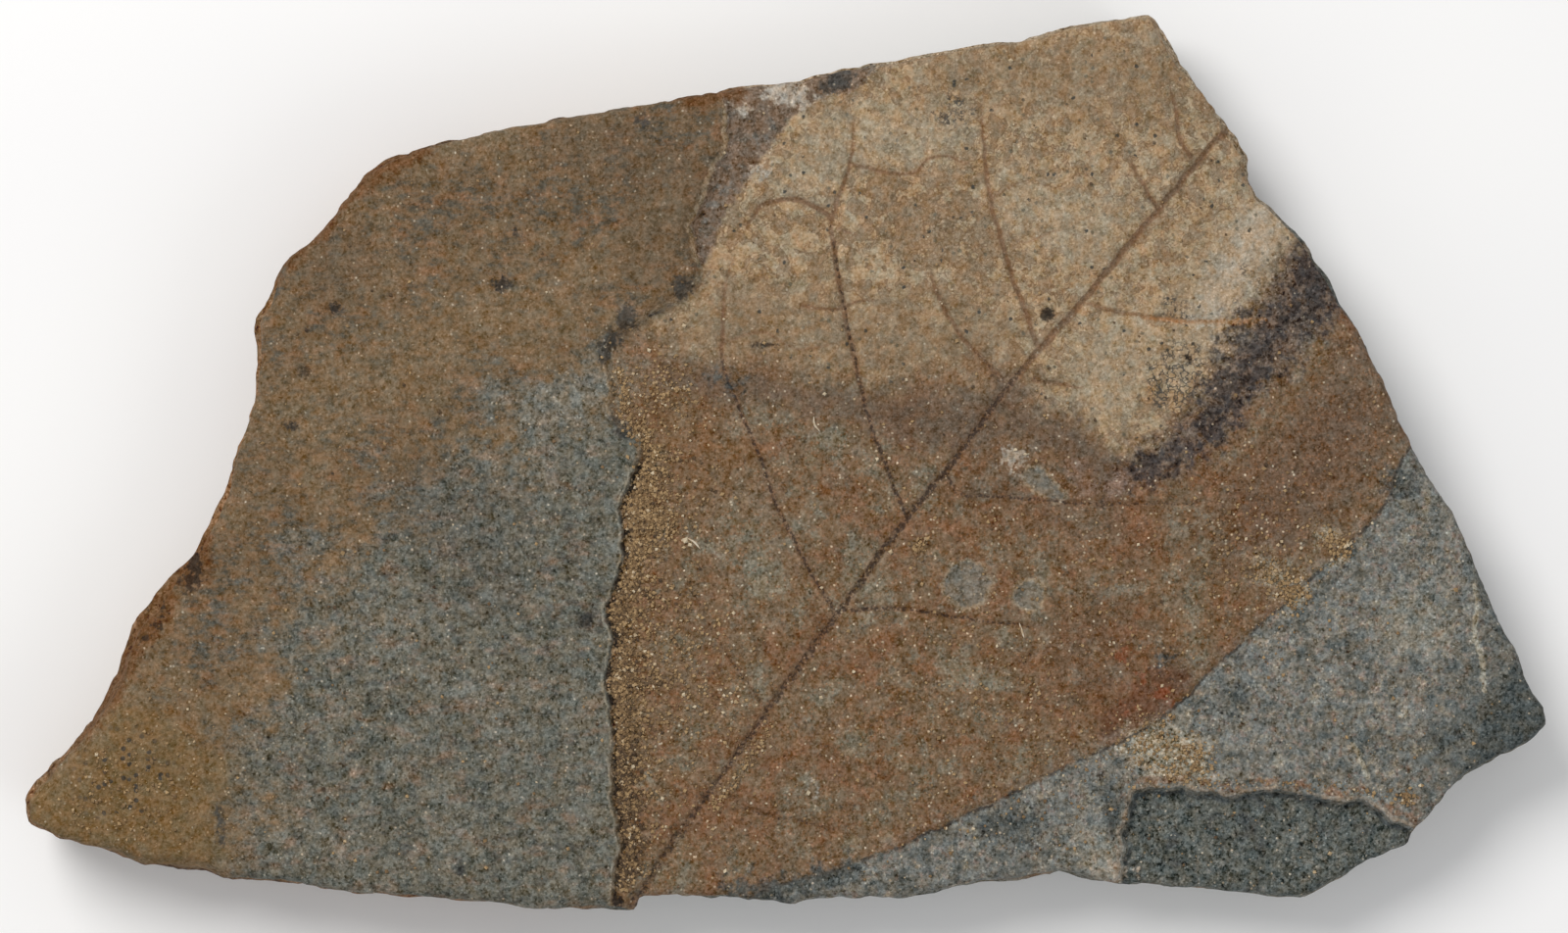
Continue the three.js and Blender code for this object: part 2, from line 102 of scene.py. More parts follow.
# The widest line of the slab, clockwise from its upper left corner.
OUTLINE = [
    [-54, 37.7], [-50.3, 39.6], [-45.3, 41.1], [-39.5, 42.5], [-33.9, 43.5], [-29.5, 44.4], [-22.8, 45.4],
    [-16.5, 46.7], [-10.3, 47.7], [-4.9, 48.5], [2.2, 49.4], [7.3, 50.7], [13.3, 51.7], [20.8, 53],
    [26.5, 54.1], [32.2, 54.9], [36.2, 56.1], [42.1, 57.2], [46.3, 57.7], [47.6, 56.4], [49, 54.2],
    [50.6, 51.6], [54.5, 46.6], [57.3, 42.5], [59.4, 39.2], [59.6, 36.5], [60.6, 34.1], [63.2, 31.9],
    [66.3, 28.5], [70.1, 22.6], [73.2, 17], [76.6, 10.9], [78.3, 6.1], [80.6, 1.6], [84.5, -4.5],
    [86.6, -8.1], [88.5, -12.6], [91, -18.8], [93, -22.8], [95, -27.4], [97.1, -30.8], [97.4, -33.5],
    [94.7, -36], [90.1, -38.3], [87.1, -39.8], [84.5, -43], [81.8, -45.9], [80.6, -46.7], [79.7, -48.9],
    [78, -49.6], [72.2, -52.6], [66.1, -55.7], [60.7, -55.4], [53.5, -54.8], [45.3, -54.3], [38.6, -53.3],
    [34.7, -52.4], [29.5, -53.5], [24.8, -53.6], [18.8, -55.2], [14.5, -55.8], [7.2, -55.8], [0.7, -56.4],
    [-4.8, -56.1], [-12.7, -55.6], [-18.4, -55.8], [-19.4, -57.4], [-25.3, -57.3], [-32.7, -57.2],
    [-36.7, -56.4], [-43.4, -55.8], [-51, -55.3], [-56.8, -54.9], [-63, -53.8], [-71.2, -53.4],
    [-74.4, -52.4], [-81.8, -51.7], [-85.9, -50.1], [-92.8, -48.3], [-97, -46], [-97.4, -42.6],
    [-94.7, -39], [-92, -35.8], [-88.5, -31.1], [-86.9, -28.4], [-85.4, -24.3], [-83.4, -19.1],
    [-81.2, -16.5], [-77.7, -13.1], [-75.5, -10.4], [-73, -5.5], [-70.5, 1.6], [-68.2, 8.7], [-67.8, 13.1],
    [-68.2, 18.2], [-66.3, 21.4], [-65.5, 23.9], [-64, 26.5], [-60, 29.6], [-57.3, 33.1], [-55.5, 35.6],
]

# Where a side leans out more than the rim does: place, how far it leans, length of side that does so.
LEANING_SIDES = [
    (-80, -19, 4.4, 6), (-86.5, -28.5, 2.6, 6), (-93.5, -38, 1.5, 7), (-73.5, -7, 1.2, 6),
    (-66.5, 20, 1.2, 5), (-54, 37, 0.7, 5), (-25, -57.4, 1.4, 5), (58, 40.5, 1.5, 4.5),
    (49.5, 53, 0.7, 3.5), (-78, -52.5, 1.2, 6),
]

# The broken edge of the upper bed, from the top of the slab to its bottom.
BROKEN_EDGE = [
    [-9.6, 52], [-8.7, 46.2], [-7.7, 41.6], [-9.9, 35.6], [-12.2, 29.9], [-11.2, 24], [-13.4, 21.5],
    [-17.8, 19], [-21.7, 16.1], [-22.8, 11.4], [-21.4, 5.7], [-18.5, 2.5], [-19.7, -1.6], [-21.2, -7.1],
    [-21, -11.9], [-22.9, -19.6], [-22.3, -21.9], [-22.8, -27.3], [-21.8, -33.2], [-22.2, -39.8],
    [-21.4, -46.9], [-22, -52.5], [-22.3, -60],
]

# The two margins of the blade. Its tip and its right side are broken off with the slab.
UPPER_MARGIN = [
    [-16, 19], [-10.3, 25.5], [-7.9, 31.6], [-4.2, 37.1], [-0.4, 42.7], [2, 45.1], [5.2, 46.7], [8.5, 47.6],
    [15, 54], [24, 64],
]
LOWER_MARGIN = [
    [90, 6], [79.7, 2.6], [77.8, -0.9], [76.6, -4.6], [71, -10.9], [63.5, -17.8], [54.7, -25.9],
    [47.2, -32.8], [37.2, -37.8], [24.7, -44], [12.2, -49.6], [6, -51.9], [-4, -55.1], [-14, -64],
]

MIDRIB = [
    [56, 42.6], [47.2, 32.2], [38.5, 21.6], [32.8, 15.1], [27.2, 8.5], [21.6, 0.6], [15.3, -7.1],
    [6, -19.9], [-1.5, -30.3], [-9, -40.9], [-15.3, -49.6], [-20, -57],
]

# The side veins from the midrib outwards, first those on the upper side of the blade.
SIDE_VEINS = [
    [[-2.3, -31.8], [-8.4, -22.9], [-12.5, -15], [-14.9, -10.3]],
    [[6.1, -18.8], [2, -11.8], [-1.4, -4.8], [-3.3, 0.6], [-6, 7.4], [-8, 12], [-8, 17.9], [-7.8, 22.9],
     [-5.8, 28.7]],
    [[15.2, -6.4], [12.6, 0], [10.7, 5.1], [8.8, 12.9], [6.8, 22.7], [5.8, 31.1], [6.8, 34.4],
     [8.2, 38.1], [8.5, 41.4], [8.7, 47]],
    [[5.8, 31.1], [4.2, 32.5], [1.8, 33.5], [-0.4, 33.6], [-2.8, 33], [-4.4, 31.1], [-5.8, 28.7]],
    [[27.6, 10.6], [23.3, 15.2], [19, 21.7], [18.2, 25]],
    [[32, 15.2], [28.7, 24.1], [26, 33.9], [25, 43.7], [25, 48.9]],
    [[47.2, 32.5], [44, 38.1], [43.2, 39.4]],
    [[51.6, 39.1], [50.2, 41.4], [49.6, 45.1], [48.6, 49.7]],
    [[-6.5, -42.4], [-5.3, -44], [2, -45.6], [7.8, -47.1], [11, -48.1]],
    [[6.9, -18.6], [14.1, -18.5], [23.3, -19.8], [32.2, -20.8], [37.2, -21.5]],
    [[20.3, -0.9], [21.6, -3.5], [28.6, -4.3], [39.3, -5.1], [49.7, -5.1], [59.8, -4.6]],
    [[37.8, 20.4], [45.8, 18.7], [53.7, 18.1], [57, 18.5]],
    [[31.6, 10.7], [35.5, 10], [38.6, 9.6]],
]
# How dark each of those veins shows, 0 to 1.
SIDE_VEIN_INK = [0.5, 0.8, 0.85, 0.7, 0.6, 0.65, 0.55, 0.55, 0.55, 0.75, 0.65, 0.4, 0.5]

# Finer veins, too small for the solid.
CROSS_VEINS = [
    [[8.7, 38.1], [13.1, 37.1], [16.3, 37.1], [18.2, 39], [21.1, 39], [23.3, 38.1], [25, 38.1]],
    [[6.6, 30.1], [9.8, 28.7]],
    [[2, 20.1], [6.6, 19.7], [9.3, 20.6], [12.2, 20.9]],
    [[5.1, -33.2], [13.1, -33.4]],
    [[30.3, -24.9], [37.7, -22.6]],
    [[11.5, 3], [14.5, 5.5], [18.5, 6.3], [22.5, 5]],
    [[0.5, -9.4], [4.5, -7.6], [9, -3.5], [11.8, 2]],
    [[24.5, -14.6], [28, -12.4], [33, -11.6]],
    [[26, 33.9], [30.5, 36], [34.5, 35.2], [37.5, 37], [41, 35.5], [44.4, 37.2]],
    [[30.2, 19.5], [34, 22.4], [37.2, 20.4]],
    [[27, 29.6], [30.5, 28.2], [34.5, 29.7], [38.8, 28.3], [42.2, 26.4]],
    [[-7.9, 15.4], [-3, 16.8], [1.5, 14.6], [8.2, 15.8]],
]
CROSS_VEIN_INK = [0.58, 0.45, 0.6, 0.45, 0.45, 0.4, 0.4, 0.4, 0.3, 0.3, 0.3, 0.4]

# The upper edge of the lost flake at the lower right, and its left side down to the slab's own edge.
FLAKE_LIP = [
    [44.4, -41.7], [49.8, -41.5], [56, -42.4], [62.8, -41.8], [69, -43], [73.8, -43.3], [77.1, -45.6],
    [81.5, -47.3],
]
FLAKE_SIDE = [[43.3, -58], [42.8, -51.1], [43.3, -49.6], [42.8, -47.3], [43.7, -44.9]]

# Pits, chips and blisters: place, radius, and depth (a negative depth stands up).
SPOTS = [
    (23, -15.3, 3, 0.35), (30.6, -16.5, 2.1, 0.3), (29.3, 0.4, 1.8, -0.35), (33.3, 19.1, 0.9, 0.5),
    (51.2, 13.4, 0.7, 0.4), (6, 3, 3.2, 0.3), (9.5, -12.5, 2.6, 0.3), (-3, -14.5, 2.8, 0.3),
    (-61.4, 11.8, 1.3, 0.5), (-57.4, 19.8, 1, 0.45), (-62.7, 4.7, 1, 0.45), (-36.2, 22.8, 1.3, 0.5),
    (-25.2, -20, 1.1, 0.6), (-41.5, -51.8, 1, 0.4), (-76.5, -14.5, 1.6, 1.2), (-84, -36, 4.5, -0.5),
    (-40, -30, 9, -0.5), (28, -45.5, 3, -0.4), (90, -30, 5, 0.5),
]

# How the sides go down, bed by bed: share of the height from the face to the underside, share of the way
# out to the widest line, how far in from that line after it, and how deep the bed is bitten there.
SIDE_RINGS = [
    (0.06, 0.6, 0, 0.3), (0.21, 0.75, 0, 1), (0.26, 1, 0, 0.4), (0.46, 1, 0, 1.1), (0.51, 1, 0.4, 1),
    (0.73, 1, 0.6, 1.3), (0.78, 1, 1.2, 1.3), (0.94, 1, 1.5, 1.2), (1, 1, 2.5, 1.4),
]

# ---- Fine relief and marks, which the solid leaves out

# Thin raised and sunken lines.
PALE_RIDGES = [
    [[87.7, -15.5], [88.2, -17.8], [87.7, -21], [88.1, -23.3], [88.8, -25.5], [89, -28.8]],
    [[72.3, -35.8], [73.3, -38], [74.1, -39.9]],
]
CRACKS = [
    [[21.7, -47.3], [21.5, -49.3], [22.3, -51.7], [21.7, -53.2]],
    [[17.8, -50.3], [18.6, -52.6]],
    [[43.2, -42.6], [42.2, -44.6], [41.6, -47.5]],
]
RIDGE_WIDTH, RIDGE_HEIGHT = 0.34, 0.3       # half the width, and the height
CRACK_WIDTH, CRACK_DEPTH = 0.32, 0.35       # half the width, and the depth
MIDRIB_WEAR = 0.42      # how far the midrib's ink pales towards its foot
MIDRIB_FRAY = 0.7       # and how much wider it gets there
VEIN_REACH = 14         # a vein's line is looked for no farther away than this
LARGE_VEIN = 0.2        # the blade swells beside veins that are deeper than this
FOOT_RUN = 1.6          # how far the rough foot of the broken edge reaches
EDGE_WEAR = 0.28        # how far the face is worn down just inside its rim

# ---- Plane geometry

FAR = 130               # beyond the slab on every side


def ease(t):
    """0 below 0, 1 above 1 and an S-shaped rise between."""
    t = np.clip(t, 0, 1)
    return t * t * (3 - 2 * t)


def smoother(t):
    return t * t * t * (t * (6 * t - 15) + 10)


def wave(x, y, length, seed):
    """Smooth noise of a wavelength in millimetres, about -0.6 to 0.6, with the same seeds as in the solid."""
    u, v = x / length, y / length
    i, j = np.floor(u), np.floor(v)

    def rise(di, dj):
        scattered = np.sin((i + di) * 127.1 + (j + dj) * 311.7 + seed * 74.7) * 43758.5453
        turn = 2 * np.pi * (scattered - np.floor(scattered))
        return np.cos(turn) * (u - i - di) + np.sin(turn) * (v - j - dj)

    along, across = smoother(u - i), smoother(v - j)
    near = rise(0, 0) + (rise(1, 0) - rise(0, 0)) * along
    far = rise(0, 1) + (rise(1, 1) - rise(0, 1)) * along
    return near + (far - near) * across


def wave3(x, y, z, length, seed):
    """Noise in space: plane noise whose pattern changes smoothly with height."""
    level = z / length
    k = np.floor(level)
    low = wave(x + 3.7 * k * length, y - 5.3 * k * length, length, seed)
    high = wave(x + 3.7 * (k + 1) * length, y - 5.3 * (k + 1) * length, length, seed)
    t = smoother(level - k)
    return (low * (1 - t) + high * t) / np.sqrt((1 - t) ** 2 + t ** 2)


def spaced(points, step, closed=False):
    """Points about `step` apart along a fine polyline."""
    run = np.concatenate([[0], np.cumsum(np.hypot(*np.diff(points, axis=0).T))])
    count = max(2, round(run[-1] / step))
    at = np.linspace(0, run[-1], count + 1)
    line = np.stack([np.interp(at, run, points[:, k]) for k in (0, 1)], axis=1)
    return line[:-1] if closed else line


def smooth_line(points, step):
    """Points along a centripetal Catmull-Rom curve through the given ones, about `step` apart."""
    p = np.array(points, float)
    p = np.vstack([2 * p[0] - p[1], p, 2 * p[-1] - p[-2]])
    gap = np.maximum(np.hypot(*np.diff(p, axis=0).T) ** 0.5, 1e-4)
    fine = []
    t = np.linspace(0, 1, 24, endpoint=False)[:, None]
    for i in range(1, len(p) - 2):
        g0, g1, g2 = gap[i - 1:i + 2]
        out = ((p[i] - p[i - 1]) / g0 - (p[i + 1] - p[i - 1]) / (g0 + g1) + (p[i + 1] - p[i]) / g1) * g1
        into = ((p[i + 1] - p[i]) / g1 - (p[i + 2] - p[i]) / (g1 + g2) + (p[i + 2] - p[i + 1]) / g2) * g1
        fine.append(hermite(p[i], p[i + 1], out, into, t))
    return spaced(np.vstack(fine + [p[-2][None]]), step)


def hermite(a, b, out, into, t):
    return (a * (2 * t ** 3 - 3 * t ** 2 + 1) + out * (t ** 3 - 2 * t ** 2 + t)
            + b * (3 * t ** 2 - 2 * t ** 3) + into * (t ** 3 - t ** 2))


def closed_line(points, step, tension=0.2):
    """Points along a closed cardinal curve through the given ones, about `step` apart."""
    p = np.array(points, float)
    t = np.linspace(0, 1, 12, endpoint=False)[:, None]
    slope = tension * (np.roll(p, -1, axis=0) - np.roll(p, 1, axis=0))
    fine = [hermite(p[i], p[(i + 1) % len(p)], slope[i], slope[(i + 1) % len(p)], t) for i in range(len(p))]
    return spaced(np.vstack(fine + [p[:1]]), step, closed=True)


def nearest(line, x, y, reach=np.inf):
    """Distance from each place to a line of points, and how far along the line that is, 0 to 1."""
    line = np.asarray(line, float)
    distance, along = np.full(x.shape, np.inf), np.zeros(x.shape)
    low, high = line.min(0) - reach, line.max(0) + reach
    close = np.nonzero((x >= low[0]) & (x <= high[0]) & (y >= low[1]) & (y <= high[1]))[0]
    cx, cy = x[close], y[close]
    best, where = np.full(cx.shape, np.inf), np.zeros(cx.shape)
    for i, (a, b) in enumerate(zip(line[:-1], line[1:])):
        u = b - a
        t = np.clip(((cx - a[0]) * u[0] + (cy - a[1]) * u[1]) / (u @ u), 0, 1)
        d = np.hypot(cx - a[0] - t * u[0], cy - a[1] - t * u[1])
        closer = d < best
        best, where = np.where(closer, d, best), np.where(closer, i + t, where)
    distance[close], along[close] = best, where / (len(line) - 1)
    return distance, along


def inside(outline, x, y):
    """Whether each place lies inside a closed outline."""
    within = np.zeros(x.shape, bool)
    for (ax, ay), (bx, by) in zip(outline, np.roll(outline, -1, axis=0)):
        if ay == by:
            continue
        crossing = (ay > y) != (by > y)
        within ^= crossing & (x < ax + (y - ay) / (by - ay) * (bx - ax))
    return within


def from_ring(ring, x, y, reach=np.inf):
    """Distance from each place to a closed ring of points."""
    return nearest(np.vstack([ring, ring[:1]]), x, y, reach)[0]


def depth_inside(outline, line, x, y):
    """Distance inside a closed outline from its open line. It is negative outside."""
    return nearest(line, x, y)[0] * np.where(inside(outline, x, y), 1, -1)


def left_of(along):
    """Unit vectors to the left of the given directions."""
    along = along / np.hypot(*along.T)[:, None]
    return np.column_stack([-along[:, 1], along[:, 0]])


def beside(line, distances):
    """Points beside a line, at each of the given distances to its left."""
    left = left_of(np.gradient(line, axis=0))
    return np.vstack([line + left * d for d in distances])


def strayed(line, reach, length, seed):
    """The line, made a little irregular."""
    x, y = line.T
    return line + reach * np.stack([wave(x, y, length, seed), wave(x, y, length, seed + 1)], axis=1)


# ---- The lines as curves

broken_edge = smooth_line(BROKEN_EDGE, CURVE_STEP)
broken_edge = strayed(strayed(broken_edge, 0.9, 3.4, 60), 0.4, 1.1, 62)
upper_margin = strayed(smooth_line(UPPER_MARGIN, 0.8), 0.35, 2.6, 64)
lower_margin = strayed(smooth_line(LOWER_MARGIN, 0.8), 0.5, 3.1, 66)
flake_line = np.vstack([smooth_line(line, CURVE_STEP) for line in (FLAKE_SIDE, FLAKE_LIP)])
flake_line = strayed(flake_line, 0.6, 1.9, 68)

covered = np.vstack([broken_edge, [[-FAR, -FAR], [-FAR, FAR]]])
blade = np.vstack([upper_margin, [[FAR, FAR]], lower_margin, [[-FAR, -FAR], [-FAR, 0]]])
flake = np.vstack([flake_line, [[FAR, -FAR], [43, -FAR]]])


def vein(line, half_width, depth, taper, ink, from_midrib=True):
    """One vein: its line, its groove, how it thins, and how dark it shows."""
    curve = strayed(smooth_line(line, 0.6), 0.3, 2.2, 70)
    return dict(line=curve, half_width=half_width, depth=depth, taper=taper, ink=ink, from_midrib=from_midrib)


VEINS = (
    [vein(MIDRIB, 0.46, 0.5, 0.35, 1, from_midrib=False)]
    + [vein(line, 0.34, 0.3, 0.3, ink) for line, ink in zip(SIDE_VEINS, SIDE_VEIN_INK)]
    + [vein(line, 0.3, 0.14, 0.3, ink) for line, ink in zip(CROSS_VEINS, CROSS_VEIN_INK)]
)


# ---- Height of the face

def bedding(x, y):
    return LEAF_BED + UNDULATION * wave(x, y, 46, 1) + ROUGHNESS * wave(x, y, 7, 2)


def vein_relief(x, y):
    """Depth of the vein grooves, how dark they show, and the distance to the nearest larger vein."""
    groove, ink, to_vein = np.zeros(x.shape), np.zeros(x.shape), np.full(x.shape, np.inf)
    for v in VEINS:
        distance, along = nearest(v["line"], x, y, VEIN_REACH)
        if v["from_midrib"]:
            thin, fading, frayed = along, 1 - along ** 6, 1
            worn = fading
        else:
            thin, fading = 1 - along, 1
            worn = 1 - MIDRIB_WEAR * ease(along * 1.5 - 0.4)
            frayed = 1 + MIDRIB_FRAY * ease(along * 1.4 - 0.2)
        shrink = 1 - v["taper"] * thin
        across = np.exp(-(distance / (v["half_width"] * shrink)) ** 2)
        groove = np.maximum(groove, v["depth"] * shrink * fading * across)
        ink = np.maximum(ink, v["ink"] * worn * across ** (1 / frayed ** 2))
        if v["depth"] > LARGE_VEIN:
            to_vein = np.minimum(to_vein, distance)
    return groove, ink, to_vein


def blade_relief(x, y, within):
    """The blade: a low dome with an edge, swelling between its veins, and a groove along each vein."""
    groove, ink, to_vein = vein_relief(x, y)
    dome = BLADE_RISE * (1 - np.exp(-np.maximum(within, 0) / 14))
    swell = LAMINA_BULGE * (1 - np.exp(-to_vein / 3)) * (1 - np.exp(-np.maximum(within, 0) / 1.2))
    edge = MARGIN_DROP * ease((within + 0.4) / 0.8)
    on_blade = ease((within + 0.6) / 1.2)
    return edge + dome + swell - groove * on_blade, ink * on_blade


def upper_bed(x, y, within):
    """The upper bed: its share at each place, and its thickness with the lip along its edge."""
    thickness = UPPER_BED * (1 + 0.3 * wave(x, y, 26, 5)) * (1 - 0.35 * ease((y - 18) / 22))
    run = STEP_RUN + WORN_RUN * ease((y - 17) / 6)
    return ease(0.5 + within / run), thickness + STEP_LIP * np.exp(-np.maximum(within, 0) / 2.5)


def lost_flake(within):
    return RECESS_DEPTH * (1 - 0.25 * ease(within / 9)) * ease(0.5 + within / 0.8)


def spot_relief(x, y):
    """Depth of the pits, and how much of a pit each place is, 0 to 1."""
    depth, pit = np.zeros(x.shape), np.zeros(x.shape)
    for sx, sy, radius, deep in SPOTS:
        inner = np.exp(-(np.hypot(x - sx, y - sy) / radius) ** 4)
        depth += deep * inner
        if radius < 1.8:
            pit = np.maximum(pit, inner)
    return depth, pit


def fine_lines(lines, x, y, half_width):
    """How much each place belongs to a set of thin lines, 0 to 1."""
    found = np.zeros(x.shape)
    for line in lines:
        away = nearest(smooth_line(line, CURVE_STEP), x, y, 3)[0]
        found = np.maximum(found, np.exp(-(away / half_width) ** 2))
    return found


def stone_grain(x, y, cover, blade_share, foot):
    """Fine unevenness of the face, smoother on the blade and rough on the upper bed and its foot."""
    fine = 0.05 * wave(x, y, 1.3, 80) + 0.045 * wave(x, y, 2.4, 81) + 0.07 * wave(x / 1.8, y, 4.2, 82)
    rough = 1 + 0.5 * cover - 0.35 * blade_share
    return fine * rough + foot * (0.16 * np.abs(wave(x, y, 1.5, 83)) + 0.14 * wave(x, y, 0.9, 84))


def face(x, y):
    """Height of the face at each place, with what the colours need to know there."""
    cover_depth = depth_inside(covered, broken_edge, x, y)
    flake_depth = depth_inside(flake, flake_line, x, y)
    to_margin = np.minimum(nearest(upper_margin, x, y)[0], nearest(lower_margin, x, y)[0])
    blade_depth = to_margin * np.where(inside(blade, x, y), 1, -1)
    share, rise = upper_bed(x, y, cover_depth)
    leaf, ink = blade_relief(x, y, blade_depth)
    pits, pit = spot_relief(x, y)
    foot = np.exp(-np.maximum(-cover_depth, 0) / FOOT_RUN) * (cover_depth < 0)
    ridges = fine_lines(PALE_RIDGES, x, y, RIDGE_WIDTH)
    cracks = fine_lines(CRACKS, x, y, CRACK_WIDTH)
    height = (bedding(x, y) + leaf * (1 - share) + rise * share - lost_flake(flake_depth) - pits
              + stone_grain(x, y, share, ease(blade_depth) * (1 - share), foot)
              + RIDGE_HEIGHT * ridges - CRACK_DEPTH * cracks)
    marks = dict(cover=cover_depth, flake=flake_depth, blade=blade_depth, ink=ink * (1 - share), pit=pit,
                 ridge=ridges, crack=cracks)
    return height, marks


# ---- The rim and the sides

def widest_line():
    """The widest line of the slab, a little ragged, and the way in from each of its points."""
    line = closed_line(OUTLINE, RIM_STEP)
    reach = round(4.5 / RIM_STEP)
    inward = -left_of(np.roll(line, -reach, axis=0) - np.roll(line, reach, axis=0))
    x, y = line.T
    ragged = RIM_GRAIN * np.maximum(0, wave(x, y, 3.1, 7)) + 0.22 * np.maximum(0, wave(x, y, 1.2, 8))
    return line + inward * ragged[:, None], inward


def rim_run(x, y):
    """How far the face's edge lies in from the widest line."""
    run = RIM_RUN * (1 + 0.4 * wave(x, y, 8, 9))
    for lx, ly, extra, reach in LEANING_SIDES:
        run = run + extra * np.exp(-((x - lx) ** 2 + (y - ly) ** 2) / reach ** 2)
    return run


def ring_inset(x, y, level):
    """How far one of the side's rings lies in from the widest line."""
    _, out, under, bite = SIDE_RINGS[level]
    broad = np.maximum(0, wave(x, y, 21, 20 + 3 * level) + 0.15)
    fine = np.abs(wave(x, y, 6.5, 21 + 3 * level))
    return (rim_run(x, y) * (1 - out) + under * (1 + 0.7 * wave(x, y, 17, 40))
            + bite * (2.2 * broad + 0.9 * fine))


def side_grid(widest, inward, rim_height):
    """The broken sides as rings of points from the rim down to the underside, and each one's share down."""
    x, y = widest.T
    downs = np.array([0] + [ring[0] for ring in SIDE_RINGS])
    insets = np.stack([rim_run(x, y)] + [ring_inset(x, y, level) for level in range(len(SIDE_RINGS))])
    warp = BED_WAVE * wave(x, y, 33, 60)
    rings, shares = [], []
    count = round(rim_height.mean() / SIDE_STEP)
    for down in np.linspace(0, 1, count + 1)[1:] ** 1.3:
        warped = down + 4 * down * (1 - down) * warp
        z = rim_height * (1 - warped)
        level = min(np.searchsorted(downs, down), len(downs) - 1)
        t = (down - downs[level - 1]) / (downs[level] - downs[level - 1])
        inset = insets[level - 1] * (1 - t) + insets[level] * t + side_grain(x, y, z, down)
        inset = np.maximum(inset, 0.02)
        place = widest + inward * inset[:, None]
        rings.append(np.column_stack([place, z if down < 1 else np.zeros(len(z))]))
        shares.append(np.full(len(z), down))
    return np.array(rings), np.array(shares)


def side_grain(x, y, z, down):
    """Thin beds that stand out or weather back by turns, and the grain of the break."""
    bed = np.floor(z / 1.15 + 0.8 * wave(x, y, 30, 90))
    scattered = np.sin(bed * 91.7) * 4375.85
    bed_out = (scattered - np.floor(scattered)) * (0.35 + 0.5 * np.maximum(0, wave(x, y, 9, 91)))
    rough = 0.30 * wave3(x, y, z, 2.8, 92) + 0.16 * wave3(x, y, z, 1.2, 94) + 0.5 * wave3(x, y, z, 6, 96)
    return (0.45 * bed_out + rough) * ease(down / 0.08) * 0.9


# ---- The stone as one closed mesh

def scattered(ring, step, apart, shift, stray, seed):
    """Places inside a ring: a grid with every other row shifted, where each place strays a little."""
    along = np.arange(-HALF_LENGTH, HALF_LENGTH, step)
    gx, gy = np.meshgrid(along, np.arange(-HALF_WIDTH, HALF_WIDTH, step * apart))
    gx = gx + (np.arange(len(gy)) % 2)[:, None] * shift
    strays = np.random.default_rng(seed).uniform(-stray, stray, (gx.size, 2))
    places = np.column_stack([gx.ravel(), gy.ravel()]) + strays
    return places[inside(ring, *places.T)]


def face_places(rim, rim_in):
    """Places for the face's vertices inside its rim: rows along every line, then a scattered grid."""
    rows = [
        rim + rim_in * 0.5,
        rim + rim_in * 1.05,
        beside(spaced(broken_edge, LINE_STEP), EDGE_ROWS),
        beside(spaced(flake_line, LINE_STEP), LIP_ROWS),
        beside(spaced(upper_margin, CURVE_STEP), MARGIN_ROWS),
        beside(spaced(lower_margin, CURVE_STEP), MARGIN_ROWS),
    ]
    for v in VEINS:
        bank = v["half_width"]
        steps = [0, -0.6 * bank, 0.6 * bank, -1.3 * bank, 1.3 * bank]
        steps = steps if v["depth"] > LARGE_VEIN else [0, -bank, bank]
        rows.append(beside(spaced(v["line"], LINE_STEP), steps))
    for line in PALE_RIDGES + CRACKS:
        rows.append(beside(smooth_line(line, LINE_STEP), [0, -0.3, 0.3]))
    rows = np.vstack(rows)
    rows = rows[inside(rim, *rows.T)]
    rows = rows[np.sort(np.unique(np.floor(rows / ROW_CELL), axis=0, return_index=True)[1])]
    field = scattered(rim, FIELD_STEP, 0.866, FIELD_STEP / 2, 0.12, seed=7)
    taken = {tuple(c) for c in np.floor(rows / FIELD_CELL).astype(int)}
    free = [tuple(c) not in taken for c in np.floor(field / FIELD_CELL).astype(int)]
    places = np.vstack([rows, field[free]])
    return places[from_ring(rim, *places.T) > RIM_GAP]


def triangulated(ring, places):
    """Triangles of the ring and the places inside it, turned to face up. The ring's points come first."""
    points = [Vector(p) for p in np.vstack([ring, places]).tolist()]
    faces, origins = delaunay_2d_cdt(points, [], [list(range(len(ring)))], 1, 1e-5, True)[2:4]
    first = np.array([o[0] for o in origins])
    tri = first[np.array([f[:] for f in faces])]
    p = np.array([q[:] for q in points])
    a, b, c = p[tri[:, 0]], p[tri[:, 1]], p[tri[:, 2]]
    turn = (b[:, 0] - a[:, 0]) * (c[:, 1] - a[:, 1]) - (b[:, 1] - a[:, 1]) * (c[:, 0] - a[:, 0])
    tri[turn < 0] = tri[turn < 0][:, ::-1]
    centre = (a + b + c) / 3
    return tri[inside(ring, *centre.T)]


def band(upper, lower, count):
    """Triangles between two rings of a clockwise side, whose first vertices are given."""
    i = np.arange(count)
    j = (i + 1) % count
    return np.vstack([np.column_stack([upper + i, upper + j, lower + i]),
                      np.column_stack([upper + j, lower + j, lower + i])])


